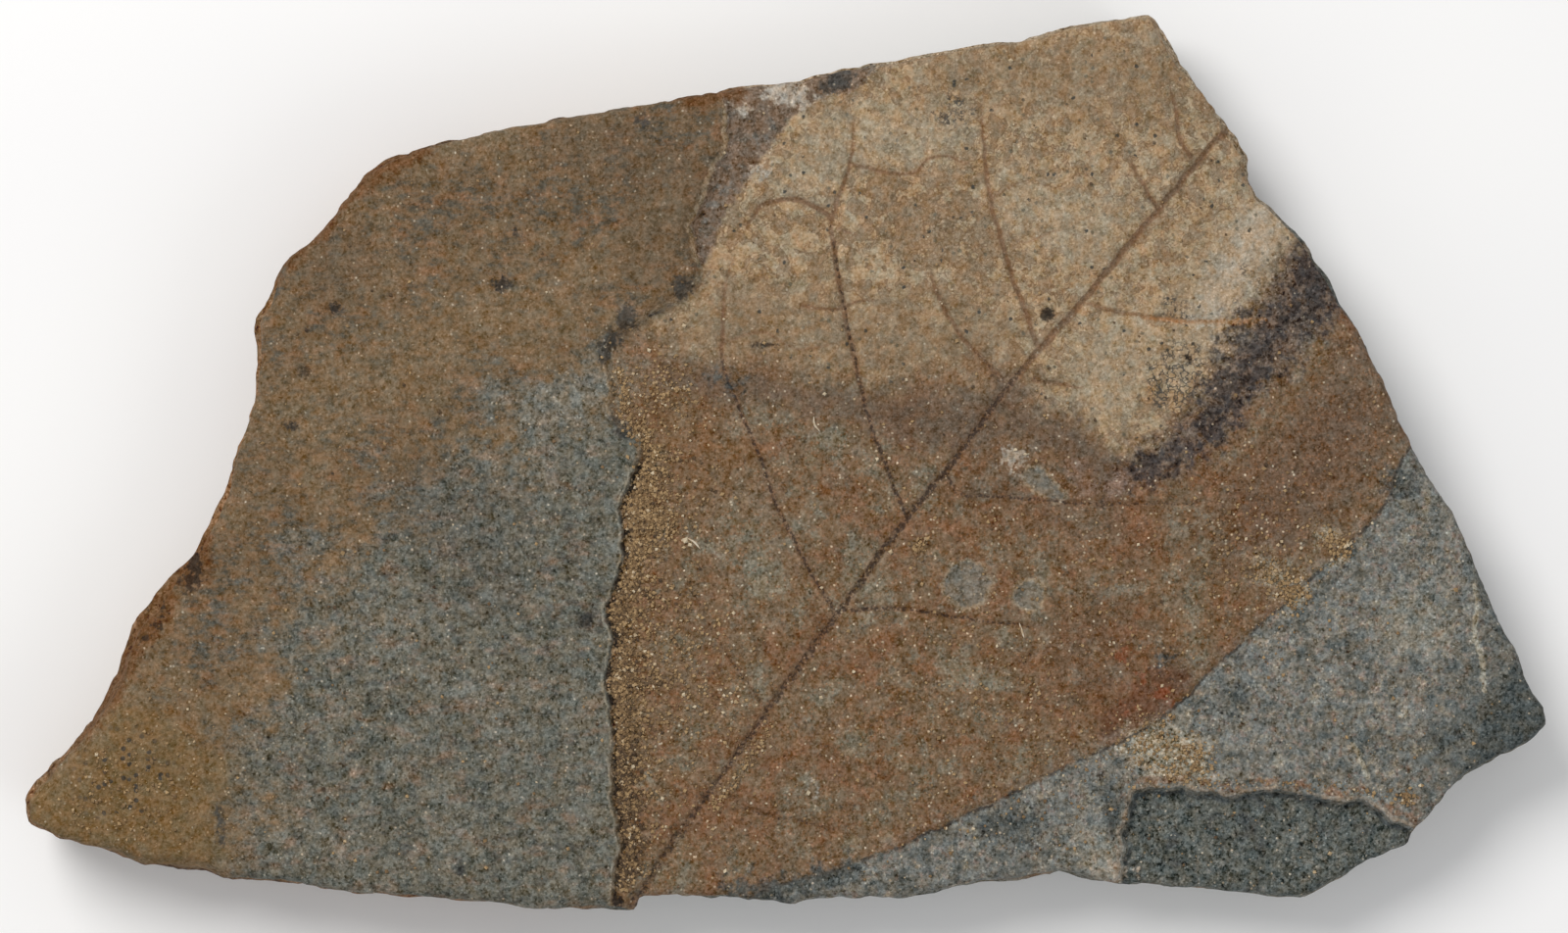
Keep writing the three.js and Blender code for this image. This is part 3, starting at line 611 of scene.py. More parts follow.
def build_stone():
    """Vertices, triangles and vertex marks of the whole slab, and the rim of its face."""
    widest, inward = widest_line()
    rim = widest + inward * rim_run(*widest.T)[:, None]
    count = len(rim)
    places = face_places(rim, inward)
    plan = np.vstack([rim, places])
    height, marks = face(*plan.T)
    away = from_ring(rim, *places.T)
    height[count:] -= EDGE_WEAR * np.exp(-(away / 0.8) ** 2) * (1 + 1.2 * wave(*places.T, 2.5, 97))
    height[:count] -= RIM_DROP * (1 + 0.5 * wave(*widest.T, 5, 11)) + 0.12 * wave(*widest.T, 1.7, 98)
    top = np.column_stack([plan, height])
    faces = [triangulated(rim, places)]
    rings, shares = side_grid(widest, inward, height[:count])
    above = 0
    for below in len(top) + count * np.arange(len(rings)):
        faces.append(band(above, below, count))
        above = below
    foot = rings[-1][:, :2]
    under = scattered(foot, UNDER_STEP, 1, 0, 1, seed=3)
    under = under[from_ring(foot, *under.T) > UNDER_GAP]
    faces.append(triangulated(foot, under)[:, ::-1] + above)
    low = np.column_stack([under, 0.25 * np.abs(wave(*under.T, 9, 99))])
    vertices = np.vstack([top, rings.reshape(-1, 3), low])
    side = np.concatenate([np.zeros(len(top)), shares.ravel(), np.ones(len(low))])
    side[:count] = 0.02
    for name, values in marks.items():
        marks[name] = np.concatenate([values, np.tile(values[:count], len(rings)), np.zeros(len(low))])
    marks["side"] = side
    return vertices, np.vstack(faces), marks, rim


def make_mesh(name, vertices, faces, marks, material, smooth=True):
    """A Blender mesh from arrays in millimetres, with each mark kept as an attribute of its points."""
    mesh = bpy.data.meshes.new(name)
    mesh.from_pydata((vertices * MM).tolist(), [], faces.tolist())
    mesh.validate()
    for key, values in marks.items():
        mesh.attributes.new(key, "FLOAT", "POINT").data.foreach_set("value", values.astype(np.float32))
    mesh.polygons.foreach_set("use_smooth", [smooth] * len(mesh.polygons))
    mesh.materials.append(material)
    made = bpy.data.objects.new(name, mesh)
    bpy.context.scene.collection.objects.link(made)
    return made


# ---- Zones of colour

# Lines between two zones. The bed turns blue-grey below the first, and the leaf pales above the second.
BLUE_LINE = [
    [-20.3, 16], [-22.8, 12.9], [-30.3, 9.1], [-40.3, 4.1], [-46.5, -2.2], [-54, -8.4], [-60.3, -13.4],
    [-64, -18.4], [-66.5, -25.9], [-69, -30.9], [-70.9, -40.9], [-72.2, -49.7], [-72.2, -57.2],
]
BLEACH_LINE = [
    [-22.8, 17.8], [-14, 12.6], [-5.3, 11], [6, 8.5], [16, 9.1], [24.8, 9.7], [29.8, 9.7], [34.8, 5.4],
    [41, 1.4], [47.2, 2.2], [52.9, 6], [57.5, 11.6], [61, 17.9], [63.5, 25.3], [66, 31],
]

# Stains, each as chains of circles: x, y, radius. Some are painted shade: the hollow chains, and the dark and
# black chains at pits and under the broken edge's lip.
STAINS = dict(
    ochre=[[(-92.8, -43.4, 7.5), (-82.8, -40.9, 10), (-77.8, -47.2, 6.3)]],
    band=[[(68.5, 24.7, 3.8), (65.4, 20.3, 4.5), (61, 15.3, 4.2), (57.4, 11, 3.5), (54.7, 7.2, 2.8),
           (51.6, 3.5, 2.3), (47.2, 0.3, 1.8), (42.2, -2.4, 1)]],
    smear=[[(-14, 11, 1.2), (-7.8, 10.1, 1.5), (-1.5, 9.1, 1.2), (6, 7.9, 1.3), (12.3, 6.6, 2),
            (18.5, 5.4, 3.4), (24.8, 6, 3.2), (28.5, 9, 2)],
           [(29.8, 5.4, 2.2), (35.4, 4.1, 2.4), (39.8, -0.3, 2)]],
    greyed=[[(-7.8, 16.6, 5.6), (6, 16, 5), (18.5, 15.4, 4.4), (26, 16, 2.5)]],
    flaked=[[(12.9, 32.9, 2.8), (19.8, 31, 3.8), (24.7, 27.9, 2.3)]],
    olive=[[(73.5, 9.1, 6.2), (69.8, 1.6, 7), (64.8, -5.9, 5.6), (59.7, -10.9, 3.8)]],
    red=[[(49.1, -28, 3), (44.8, -31.5, 3), (41, -34, 1.8)]],
    grey=[[(6, 3.1, 1.8)], [(9.8, -12.1, 2.8), (8.5, -15.9, 1.5)], [(-2.7, -14.6, 2.8)],
          [(-10.9, -10.3, 1.5)], [(21, -26, 2), (26, -28, 1.5)], [(9, -36, 2)]],
    disc=[[(23.2, -15.5, 3)], [(30.8, -16.8, 2)], [(31.8, -1.9, 1.5), (34.6, -4, 1)]],
    film=[[(36.8, -0.8, 1.4)], [(38.6, -3.2, 1.2)], [(42.6, -2.2, 1.2), (41.6, -3.6, 1)]],
    pale=[[(29.1, 0.6, 1.4)], [(42.2, -51.5, 1.5)], [(1.6, 47.2, 1.8), (-1.5, 47.6, 1.5)],
          [(-5.3, 45.3, 0.8)], [(-3.5, 37.6, 0.8)], [(2.8, -41.9, 0.4)], [(61.4, -22.7, 0.4)]],
    black=[[(33.3, 19.1, 1)], [(51.2, 13.4, 0.6)], [(56.3, 10, 0.35)],
           [(-4.2, 15.1, 0.4), (-0.9, 15, 0.3)], [(16.6, 47.8, 0.3)],
           [(9, 12.2, 0.12), (8, 17, 0.1), (6.9, 22.4, 0.1), (6, 28.5, 0.06)]],
    umber=[[(18.2, 25.4, 0.2), (18.8, 22.8, 0.3), (20.4, 19.6, 0.25)], [(-8, 15, 0.15), (-8, 20, 0.1)]],
    russet=[[(-13, 4, 4), (-9, 0, 4.5)], [(-17, -6, 2)]],
    hollow_shade=[[(-75.4, -12, 1.2), (-76, -15, 1.4)], [(-79.5, -19, 0.4), (-81.5, -22.5, 0.5)]],
    ember=[[(42.8, -24.3, 0.7)], [(47.6, -29.3, 0.8), (48.8, -30.8, 0.5)], [(43.4, -31.2, 0.6)],
           [(45.5, -27, 0.6)]],
    amber=[[(45, 18.7, 0.2), (50, 18.1, 0.3), (56, 18, 0.4), (61, 18.3, 0.3)]],
    dark=[[(31.1, 10.7, 0.5)], [(71.2, -13.2, 0.3), (69.5, -14.8, 0.35)],
          [(67.6, -16.6, 0.35), (66, -18, 0.3)], [(58.6, -24, 0.4), (57.6, -24.8, 0.3)],
          [(7.2, 49.4, 1.8), (5.3, 47.9, 1)], [(-13.2, 22.6, 1.5)], [(-20.3, 18.5, 1.5)],
          [(-22.2, 16, 1.2), (-23.2, 13.5, 0.8)], [(-20.3, 4.1, 1), (-21.8, 5.3, 0.75)],
          [(-25.3, -19.9, 1.1)], [(-57.4, 19.8, 0.8)], [(-62.8, 4.7, 0.6)], [(-36.2, 22.9, 1.2)],
          [(-34.7, 29.7, 0.6)], [(-41.5, -51.8, 0.8)], [(-18.2, 43.5, 1)],
          [(-72.2, -43.5, 0.4), (-71.8, -48, 0.6)]],
    dusk=[[(26, -45.9, 1.8), (30.4, -46.1, 2)], [(41, -41.5, 1.4), (42, -46, 1.2)],
          [(95.5, -30.5, 5), (91, -35.8, 3.5), (88.5, -37.8, 2)], [(78.4, -2.1, 1.8)],
          [(88, -14, 1), (92, -22, 1)], [(-7, -54.5, 1.2), (2, -54, 1.5), (8, -51.8, 1)],
          [(84, -35, 1.5)], [(57, -30, 1.5)],
          [(48.2, -24.8, 0.8)], [(-9.3, 11, 0.2), (-6.5, 10.2, 0.3)]],
    rust=[[(-12.5, 46.4, 1.4), (-6, 47.4, 1.1)],
          [(-47, 40, 1.2), (-55.5, 35, 1.6), (-60, 29, 1), (-65, 24.5, 1)],
          [(-76, -13, 3), (-74.5, -10, 1.5)], [(-90, -35, 1), (-84.5, -26, 1.6), (-79, -17, 1.6)]],
    haze=[[(60.5, 31, 2.5), (57, 25, 3), (54, 19, 2.5)]],
    paler=[[(60, 31, 4), (57.5, 24, 6), (53, 16, 6)], [(40, 10, 5), (44, 16, 5)], [(6.5, 3, 2.5)],
           [(2, 37, 2.5), (9, 42, 4), (18, 42, 4)], [(49, -38.5, 5)],
           [(31, 33, 4), (39, 30, 5)], [(-62, 6, 4), (-52, 11, 4), (-40, 18, 4), (-30, 20, 3)],
           [(-24, 10, 4), (-31, 5, 3)], [(-4, -12, 4), (-8, -3, 3)], [(80, -20, 5)],
           [(50, -42, 3), (40, -50, 4)]],
    darker=[[(-24, 40, 5), (-14, 36, 6), (-16, 27, 4)], [(-58, 26, 5)], [(-46, -4, 5), (-38, -12, 6)],
            [(22, 50, 4), (35, 50, 5), (46, 49, 5)], [(26, -2, 4), (44, -8, 4)], [(60, -5, 6), (70, 4, 5)],
            [(40, -25, 7)], [(92, -30, 7), (86, -39, 4)], [(48, -44.5, 2), (58, -45, 2)], [(66, -55, 3)]],
    specks=[[(49.4, 19.7, 1.6)], [(57.2, 19.7, 0.8)], [(50.3, 10.3, 4.5)], [(59, 24.7, 1)],
            [(21.6, 44.7, 2)], [(-84, -40, 6)]],
    sand=[[(45, -35, 2.3), (48.5, -36.4, 3.1), (52, -37.8, 2.1)], [(61, -13, 1.5), (65, -16.5, 1.5)],
          [(68.5, -9, 1), (71, -11, 1)]],
)
FADED = 12              # a stain's mark goes no lower than this far outside it
LINE_FADE = 25          # and the mark of a zone beside a line changes no farther than this from it


def chain_depth(chains, x, y):
    """How far each place lies inside the nearest of some chains of circles. It is negative outside."""
    depth = np.full(x.shape, -float(FADED))
    for chain in chains:
        links = list(zip(chain[:-1], chain[1:])) or [(chain[0], chain[0])]
        for (ax, ay, ar), (bx, by, br) in links:
            length = (bx - ax) ** 2 + (by - ay) ** 2 or 1
            t = np.clip(((x - ax) * (bx - ax) + (y - ay) * (by - ay)) / length, 0, 1)
            away = np.hypot(x - ax - t * (bx - ax), y - ay - t * (by - ay))
            depth = np.maximum(depth, ar + (br - ar) * t - away)
    return depth


def zones(x, y):
    """How far each place lies inside each zone of colour."""
    blue, bleach = np.array(BLUE_LINE), np.array(BLEACH_LINE)
    below = np.vstack([blue, [[-72, -FAR], [FAR, -FAR], [FAR, 16]]])
    above = np.vstack([bleach, [[FAR, 31], [FAR, FAR], [-FAR, FAR], [-FAR, 17.8]]])
    found = {name: chain_depth(chains, x, y) for name, chains in STAINS.items()}
    found["wedge"] = ease((14 - x) / 5) * ease((y - 16) / 4)
    found["foot"] = ease((2 - y) / 5) * (1 - 0.5 * ease((-30 - y) / 8))
    found["blue"] = np.clip(depth_inside(below, blue, x, y), -LINE_FADE, LINE_FADE)
    found["bleach"] = np.clip(depth_inside(above, bleach, x, y), -LINE_FADE, LINE_FADE)
    return found


# ---- Nodes: formulas over the surface

GRAIN_CONTRAST = 0.3    # how far the stone's grain changes its colour
BUMP_STRENGTH = 0.7
GRIT_DEPTH = 0.12       # depth of the finest relief
SHINE = 0.3


class Field:
    """A number that varies over the surface, for use in formulas."""

    def __init__(self, shade, socket):
        self.shade, self.socket = shade, socket

    def __add__(self, other):
        return self.shade.math("ADD", self, other)

    def __sub__(self, other):
        return self.shade.math("SUBTRACT", self, other)

    def __mul__(self, other):
        return self.shade.math("MULTIPLY", self, other)

    def __abs__(self):
        return self.shade.math("ABSOLUTE", self)

    def most(self, other):
        return self.shade.math("MAXIMUM", self, other)

    def rest(self):
        """What it lacks to 1."""
        return self.shade.math("SUBTRACT", 1, self)

    def step(self, low, high):
        """A smooth step from 0 at `low` to 1 at `high`. It falls where `low` is the greater."""
        made = self.shade.node("ShaderNodeMapRange", self, low, high, interpolation_type="SMOOTHSTEP")
        return Field(self.shade, made.outputs[0])


class Coat:
    """A colour over the surface, and how strongly the stone's grain shows in it."""

    def __init__(self, shade, colour, grain):
        self.shade, self.colour, self.grain = shade, colour, grain

    def under(self, share, over, grain=None):
        """This coat with a share of a colour, or of another coat, over it."""
        if isinstance(over, Coat):
            over, grain = over.colour, over.grain
        colour = self.shade.blend(share, self.colour, over)
        if grain is None:
            return Coat(self.shade, colour, self.grain)
        ends = {0: share, 2: self.grain, 3: grain}
        made = self.shade.node("ShaderNodeMix", inputs=ends, data_type="FLOAT")
        return Coat(self.shade, colour, Field(self.shade, made.outputs[0]))

    def layers(self, *rows):
        """This coat under several others, each given as under() takes it."""
        coat = self
        for row in rows:
            coat = coat.under(*row)
        return coat

    def lit(self, share):
        """This coat, made lighter or darker by a field about 1."""
        return Coat(self.shade, self.shade.scaled(self.colour, share), self.grain)


class Shade:
    """The nodes of one material. Places and sizes are in millimetres."""

    def __init__(self, name):
        self.material = bpy.data.materials.new(name)
        self.material.use_nodes = True
        self.tree = self.material.node_tree
        self.tree.nodes.clear()
        self.space = "3D"
        self.place = self.moved(self.node("ShaderNodeTexCoord").outputs["Object"], (1 / MM,) * 3)

    def node(self, kind, *values, inputs=None, **settings):
        """A new node. Its first inputs, and those that are named, are linked or set to values."""
        made = self.tree.nodes.new(kind)
        for key, value in settings.items():
            setattr(made, key, value)
        for socket, value in zip(made.inputs, values):
            self.feed(socket, value)
        for key, value in (inputs or {}).items():
            self.feed(made.inputs[key], value)
        return made

    def feed(self, socket, value):
        """Links a field or a socket to an input, or sets the input to a plain value."""
        value = value.socket if isinstance(value, Field) else value
        if isinstance(value, bpy.types.NodeSocket):
            self.tree.links.new(value, socket)
        elif socket.type == "RGBA":
            socket.default_value = linear(value)
        else:
            socket.default_value = value

    def moved(self, place, scale=(1, 1, 1), turn=0, shift=(0, 0, 0)):
        """Places after a move, a turn about Z in degrees and a scale."""
        made = self.node("ShaderNodeMapping", place, shift, (0, 0, math.radians(turn)), scale)
        return made.outputs[0]

    def math(self, operation, *values):
        return Field(self, self.node("ShaderNodeMath", *values, operation=operation).outputs[0])

    def mark(self, name):
        """One of the mesh's own marks."""
        return Field(self, self.node("ShaderNodeAttribute", attribute_name=name).outputs["Fac"])

    def zone(self, name, low, high, **ruffled):
        """A step across a mark's edge, ruffled by so much of each of the shared noises."""
        field = self.mark(name)
        for noise, share in ruffled.items():
            field = field + getattr(self, noise) * share
        return field.step(low, high)

    def noise(self, size, detail=2, seed=0, place=None, rough=0.55):
        """Soft noise from about -1 to 1, with features of the given size. In 2D it ignores height."""
        place = self.moved(place or self.place, shift=(31.7 * seed, 17.3 * seed, 5.9 * seed))
        inputs = dict(Vector=place, Scale=1 / size, Detail=detail, Roughness=rough)
        made = self.node("ShaderNodeTexNoise", inputs=inputs, noise_dimensions=self.space)
        return self.math("MULTIPLY_ADD", Field(self, made.outputs["Fac"]), 2, -1)

    def grains(self, size, seed=0):
        """Grains of the given size: distance from each one's middle as a share of it, and three chances."""
        place = self.moved(self.place, shift=(13.1 * seed, 7.7 * seed, 3.3 * seed))
        inputs = dict(Vector=place, Scale=1 / size)
        made = self.node("ShaderNodeTexVoronoi", inputs=inputs, voronoi_dimensions=self.space)
        chances = self.node("ShaderNodeSeparateColor", made.outputs["Color"]).outputs
        return Field(self, made.outputs["Distance"]), [Field(self, chance) for chance in chances]

    def blend(self, share, first, second, kind="MIX"):
        """The first colour, with a share of the second over it."""
        inputs = {0: share, 6: first, 7: second}
        return self.node("ShaderNodeMix", inputs=inputs, data_type="RGBA", blend_type=kind).outputs[2]

    def scaled(self, colour, share):
        """The colour, made lighter or darker by a field about 1."""
        inputs = dict(Scale=share)
        return self.node("ShaderNodeVectorMath", colour, inputs=inputs, operation="SCALE").outputs[0]

    def grained(self, coat):
        """The coat's colour, here warmer and there cooler, with the salt-and-pepper grain of the stone."""
        away, chances = self.grains(0.3, seed=2)
        salt = chances[0].step(0.86, 1) * away.step(0.6, 0.2)
        speckle = (self.noise(0.85, 3, seed=35, rough=0.9) * 1.7 + self.noise(2.6, 1, seed=36) * 0.5
                   + (chances[1] - 0.5) * 0.9 + salt * 1.1)
        tint = self.blend(self.noise(1.5, 2, seed=28, rough=0.6).step(-0.45, 0.45), COOL_TINT, WARM_TINT)
        colour = self.blend(1.0, coat.colour, tint, "MULTIPLY")
        grain = speckle * coat.grain * GRAIN_CONTRAST
        grey = Field(self, self.node("ShaderNodeRGBToBW", colour).outputs[0])
        made = self.node("ShaderNodeVectorMath", colour, grain + 1, grain * grey, operation="MULTIPLY_ADD")
        return made.outputs[0]

    def finish(self, colour, roughness, grit=None):
        """Ends the material: its colour, its roughness and, from a noise, its finest relief."""
        inputs = {"Base Color": colour, "Roughness": roughness, "Specular IOR Level": SHINE}
        if grit:
            bump = self.node("ShaderNodeBump", BUMP_STRENGTH, GRIT_DEPTH * MM, inputs=dict(Height=grit))
            inputs["Normal"] = bump.outputs[0]
        shader = self.node("ShaderNodeBsdfPrincipled", inputs=inputs)
        self.node("ShaderNodeOutputMaterial", shader.outputs[0])
        return self.material


def linear(colour):
    """Red, green and blue of 0 to 255, as the renderer's linear colour."""
    return tuple(c / 12.92 if c <= 0.04045 else ((c + 0.055) / 1.055) ** 2.4
                 for c in (v / 255 for v in colour)) + (1,)


# ---- Colours of the stone, as red, green and blue of 0 to 255

BED_BROWN = (110, 89, 65)
BED_RUST = (122, 90, 64)
BED_SLATE = (88, 84, 73)
BED_TAN = (128, 108, 81)
BED_SHADE = (96, 80, 62)
BED_BLUE = (102, 100, 89)
BED_DUSK = (86, 84, 77)
BED_PINK = (122, 101, 84)
BED_HAZE = (120, 116, 105)
OCHRE = (119, 95, 60)
OCHRE_SAND = (120, 84, 56)
AMBER = (172, 128, 88)
EMBER = (138, 74, 44)
MARGIN_PALE = (136, 118, 102)
MARGIN_CRACK_AND_SHADOW = (62, 56, 51)
LEAF_BROWN = (116, 94, 70)
LEAF_RUST = (121, 86, 60)
LEAF_GREY = (122, 114, 96)
RUSSET = (118, 87, 56)
ORANGE_GRAIN = (140, 102, 72)
PALE_GRAIN = (190, 172, 144)
DISC_GREY = (113, 109, 98)
FILM_PINK = (138, 112, 95)
LEAF_UMBER = (86, 68, 52)
LEAF_OLIVE = (106, 89, 72)
DEEP_RED = (98, 65, 45)
CRUST = (162, 141, 112)
CRUST_PEACH = (168, 138, 106)
CRUST_PALE = (166, 149, 124)
CRUST_HAZE = (178, 162, 142)
FLAKED = (138, 116, 91)
CRUST_EDGE = (104, 80, 56)
CRUST_DOT = (98, 92, 76)
GREYED = (133, 112, 87)
VEIN_SOFT = (122, 93, 68)
VEIN_DARK = (56, 43, 36)
SMEAR = (98, 81, 66)
MANGANESE = (96, 82, 72)
MANGANESE_BLACK = (54, 50, 50)
MATRIX = (113, 112, 105)
MATRIX_WARM = (128, 112, 102)
MATRIX_DARK = (84, 87, 83)
MATRIX_WISP = (156, 148, 130)
MATRIX_PALE = (144, 139, 124)
WEDGE = (112, 94, 78)
WEDGE_GREY = (106, 102, 94)
WALL_PALE_AND_LIGHT = (150, 130, 104)
RECESS = (82, 86, 81)
RECESS_DARK_AND_SHADOW = (57, 61, 61)
LIP_PALE_AND_HIGHLIGHT = (144, 138, 123)
LIP_PINK = (139, 125, 109)
SAND = (154, 125, 86)
SAND_PALE = (168, 155, 131)
WHITE_FILM = (174, 163, 148)
BLACK_SPOT_AND_SHADE = (58, 57, 54)
# Near-black: painted shade in the hollows under the broken edge's lip, between grains of sand, in pits and in
# a hole, and the colour of a few real black marks.
SHADE_AND_BLACK = (28, 21, 16)
SIDE_RUST = (124, 92, 60)
SIDE_DARK = (76, 56, 36)
SIDE_GREY = (104, 102, 92)
SIDE_TAN_AND_LIGHT = (158, 136, 108)
UNDERSIDE = (112, 104, 90)
DUSK = (67, 72, 70)
RUST = (99, 65, 31)
GLINT = (190, 174, 150)
COOL_TINT = (240, 252, 263)     # a tint may pass 255
WARM_TINT = (263, 252, 240)


# ---- The stone's material

# Noises that several zones share, from broad clouds down to dust: size, detail, seed and roughness.
SHARED_NOISES = dict(
    broad=(9, 2, 3, 0.55), patches=(7, 3, 4, 0.62), blots=(2.4, 3, 5, 0.65), curds=(1.6, 3, 9, 0.62),
    flecks=(0.95, 3, 6, 0.6), dust=(0.5, 2, 14, 0.75),
)


def weathered(s):
    """Gives the shade those noises, and two sizes of grains."""
    s.space = "2D"
    for name, (size, detail, seed, rough) in SHARED_NOISES.items():
        setattr(s, name, s.noise(size, detail, seed, rough=rough))
    s.dots = s.grains(0.8, seed=6)
    s.bits = s.grains(0.38, seed=7)


def shifted(s, coat, wander, dark, dark_share, light, light_share):
    """A coat with broad lighter and darker areas, whose edges wander with a noise."""
    darker = (s.mark("darker") - wander).step(-4, 4)
    paler = (s.mark("paler") + wander).step(-3, 4)
    return coat.under(darker * dark_share, dark).under(paler * light_share, light)


def bed_coat(s):
    """The upper bed: brown, then blue-grey, freckled along the bedding, with an ochre corner."""
    drawn = s.moved(s.place, (0.55, 1, 1), turn=-9)
    freckles = s.noise(1.0, 3, seed=1, place=drawn, rough=0.65)
    streaks = s.noise(2.2, 3, seed=2, place=drawn, rough=0.6)
    wander = s.broad * 9 + streaks * 2
    brown = Coat(s, BED_BROWN, 1.05).layers(
        (streaks.step(-0.1, 0.5) * 0.8, BED_RUST),
        ((freckles + s.broad * 0.4).step(-0.1, 0.5) * 0.85, BED_SLATE),
        (s.broad.step(0.3, -0.4) * 0.5, BED_TAN),
    )
    blue = Coat(s, BED_BLUE, 1.55).layers(
        (streaks.step(0.0, 0.5) * 0.7, BED_PINK),
        ((freckles + s.broad * 0.3).step(0.0, 0.5) * 0.75, BED_DUSK),
        (s.broad.step(0.1, -0.5) * 0.35, BED_HAZE),
    )
    brown = shifted(s, brown, wander, BED_SHADE, 0.45, BED_TAN, 0.5)
    blue = shifted(s, blue, wander, BED_DUSK, 0.45, BED_HAZE, 0.6)
    turned = s.mark("blue") + s.broad * 16 + streaks * 6 + freckles * 6
    stain = (s.mark("ochre") + wander + streaks).step(-4, 4) * 0.8
    coat = brown.layers((turned.step(-5, 6), blue), (stain, OCHRE, 0.95)).lit(freckles * -0.24 + 0.99)
    away, chances = s.dots
    dots = (s.mark("specks") + streaks).step(-2, 2) * (chances[0] + streaks * 0.3).step(0.76, 0.84)
    return coat.under(dots * away.step(0.5, 0.3) * 0.85, BLACK_SPOT_AND_SHADE)


def lower_leaf_coat(s):
    """The brown part of the leaf: patches of grey, red and umber."""
    rusty = s.patches + s.blots * 0.7 + s.flecks * 0.5
    coat = Coat(s, LEAF_BROWN, 1.25).layers(
        (rusty.step(-0.15, 0.45) * 0.8, LEAF_RUST),
        ((s.blots - s.patches * 0.9 + s.flecks * 0.4).step(0.0, 0.45) * 0.7, LEAF_GREY),
        ((s.flecks + s.blots * 0.5).step(0.2, 0.6) * 0.5, LEAF_UMBER),
        (s.zone("grey", -0.6, 0.8, blots=1.6) * 0.75, LEAF_GREY),
        (s.zone("olive", -2, 2, blots=4, patches=4) * 0.7, LEAF_OLIVE),
    )
    coat = shifted(s, coat, s.patches * 8 + s.blots * 3, DEEP_RED, 0.35, LEAF_GREY, 0.6).layers(
        (s.zone("russet", -2.5, 2.5, patches=5, blots=3) * 0.55, RUSSET),
        (s.zone("red", -1, 1.5, blots=3) * 0.8, DEEP_RED),
    )
    away, chances = s.bits
    return coat.lit(s.blots * 0.12 - s.flecks * 0.2 + 1).layers(
        ((chances[0] + s.flecks * 0.2).step(0.76, 0.9) * away.step(0.6, 0.3) * 0.5, ORANGE_GRAIN),
        (chances[2].step(0.88, 0.95) * away.step(0.6, 0.3) * 0.6, LEAF_UMBER),
        (chances[1].step(0.968, 0.98) * away.step(0.5, 0.3) * 0.6, PALE_GRAIN),
    )


def upper_leaf_coat(s):
    """The bleached part of the leaf: a pale crust, flaked off in crisp patches, with curls and dots."""
    curls = s.noise(0.9, 2, seed=32, rough=0.5)
    flaked = (s.mark("flaked") + 5).step(0, 8)
    crust = s.noise(2.1, 2, seed=8, rough=0.5) + s.patches * 0.4
    flakes = crust + flaked * 0.35
    broken = (s.curds + s.patches + flaked).step(-0.3, 0.3)
    edge = abs(flakes - 0.1).step(0.07, 0.01).most(abs(crust + 0.15).step(0.07, 0.01) * broken)
    coat = Coat(s, CRUST, 0.8).layers(
        ((s.curds - s.patches * 0.5).step(-0.1, 0.45) * 0.8, CRUST_PEACH),
        ((s.blots * -1 - s.patches * 0.5).step(0.1, 0.5) * 0.6, CRUST_PALE),
        (flakes.step(0.12, 0.17) * 0.8, FLAKED),
        (edge.most(abs(curls).step(0.09, 0.02) * broken * 0.8) * 0.7, CRUST_EDGE),
    )
    coat = shifted(s, coat, s.patches * 7 + s.curds * 2, GREYED, 0.6, CRUST_PALE, 0.55).layers(
        (s.zone("greyed", -6, 4, patches=6, curds=3) * 0.75, GREYED),
        (s.zone("haze", -1.5, 2, blots=3, flecks=2) * 0.6, CRUST_HAZE),
    )
    away, chances = s.dots
    dots = (chances[0] + s.blots * 0.3).step(0.93, 0.98) * (away + s.dust * 0.3).step(0.4, 0.2)
    specks = s.zone("specks", -1, 1.5, blots=4, flecks=1) * abs(curls + 0.1).step(0.16, 0.06)
    return coat.lit(s.curds * -0.12 + 1).layers(
        (dots * 0.7, CRUST_DOT),
        (specks.most(dots * chances[1].step(0.6, 0.7)) * 0.8, BLACK_SPOT_AND_SHADE),
    )


def leaf_coat(s):
    """The whole blade, with its veins, the smear along the bleached part's edge, and the dark band."""
    crisp = (s.mark("greyed") + 9).step(9, -3)
    bleach = s.mark("bleach") + s.blots * 3.5 + s.broad * 4 + s.flecks
    bleach = bleach.step(-1, 5) * crisp.rest() + bleach.step(-1.5, 2) * crisp
    smear = s.zone("smear", -2.5, 1.8, blots=3.5, flecks=1)
    reach = s.mark("band") + s.curds * 3 + s.broad * 2.5 + s.flecks * 2
    blotch = (s.curds * 0.5 + s.flecks * 0.5 + s.broad * 0.7 + reach * 0.1).step(-0.15, 0.35)
    stain = Coat(s, MANGANESE, 2).under(blotch, MANGANESE_BLACK)
    disc = s.mark("disc") + s.blots
    ink = s.mark("ink")
    halo = (ink * (s.dust * 0.5 + 1)).step(0.02, 0.5)
    line = (ink * (s.dust * 2 + s.flecks * 0.6 + 1)).step(0.3, 0.9)
    return lower_leaf_coat(s).layers(
        (bleach, upper_leaf_coat(s)),
        (smear * 0.75, SMEAR, 1.2),
        (reach.step(-2.8, 1.8) * 0.9, stain),
        (disc.step(-0.5, 0.5) * 0.8, DISC_GREY),
        (abs(disc).step(0.4, 0.1) * 0.35, CRUST),
        (s.zone("film", -0.5, 0.4, curds=1) * 0.55, FILM_PINK),
        (s.zone("ember", -0.4, 0.4, curds=2) * 0.5, EMBER),
        (s.zone("umber", -0.2, 0.25, dust=0.4) * 0.8, CRUST_EDGE),
        (halo * (bleach * 0.35 + 0.45), VEIN_SOFT),
        (line * (bleach * -0.6 + 0.84), VEIN_DARK),
    )


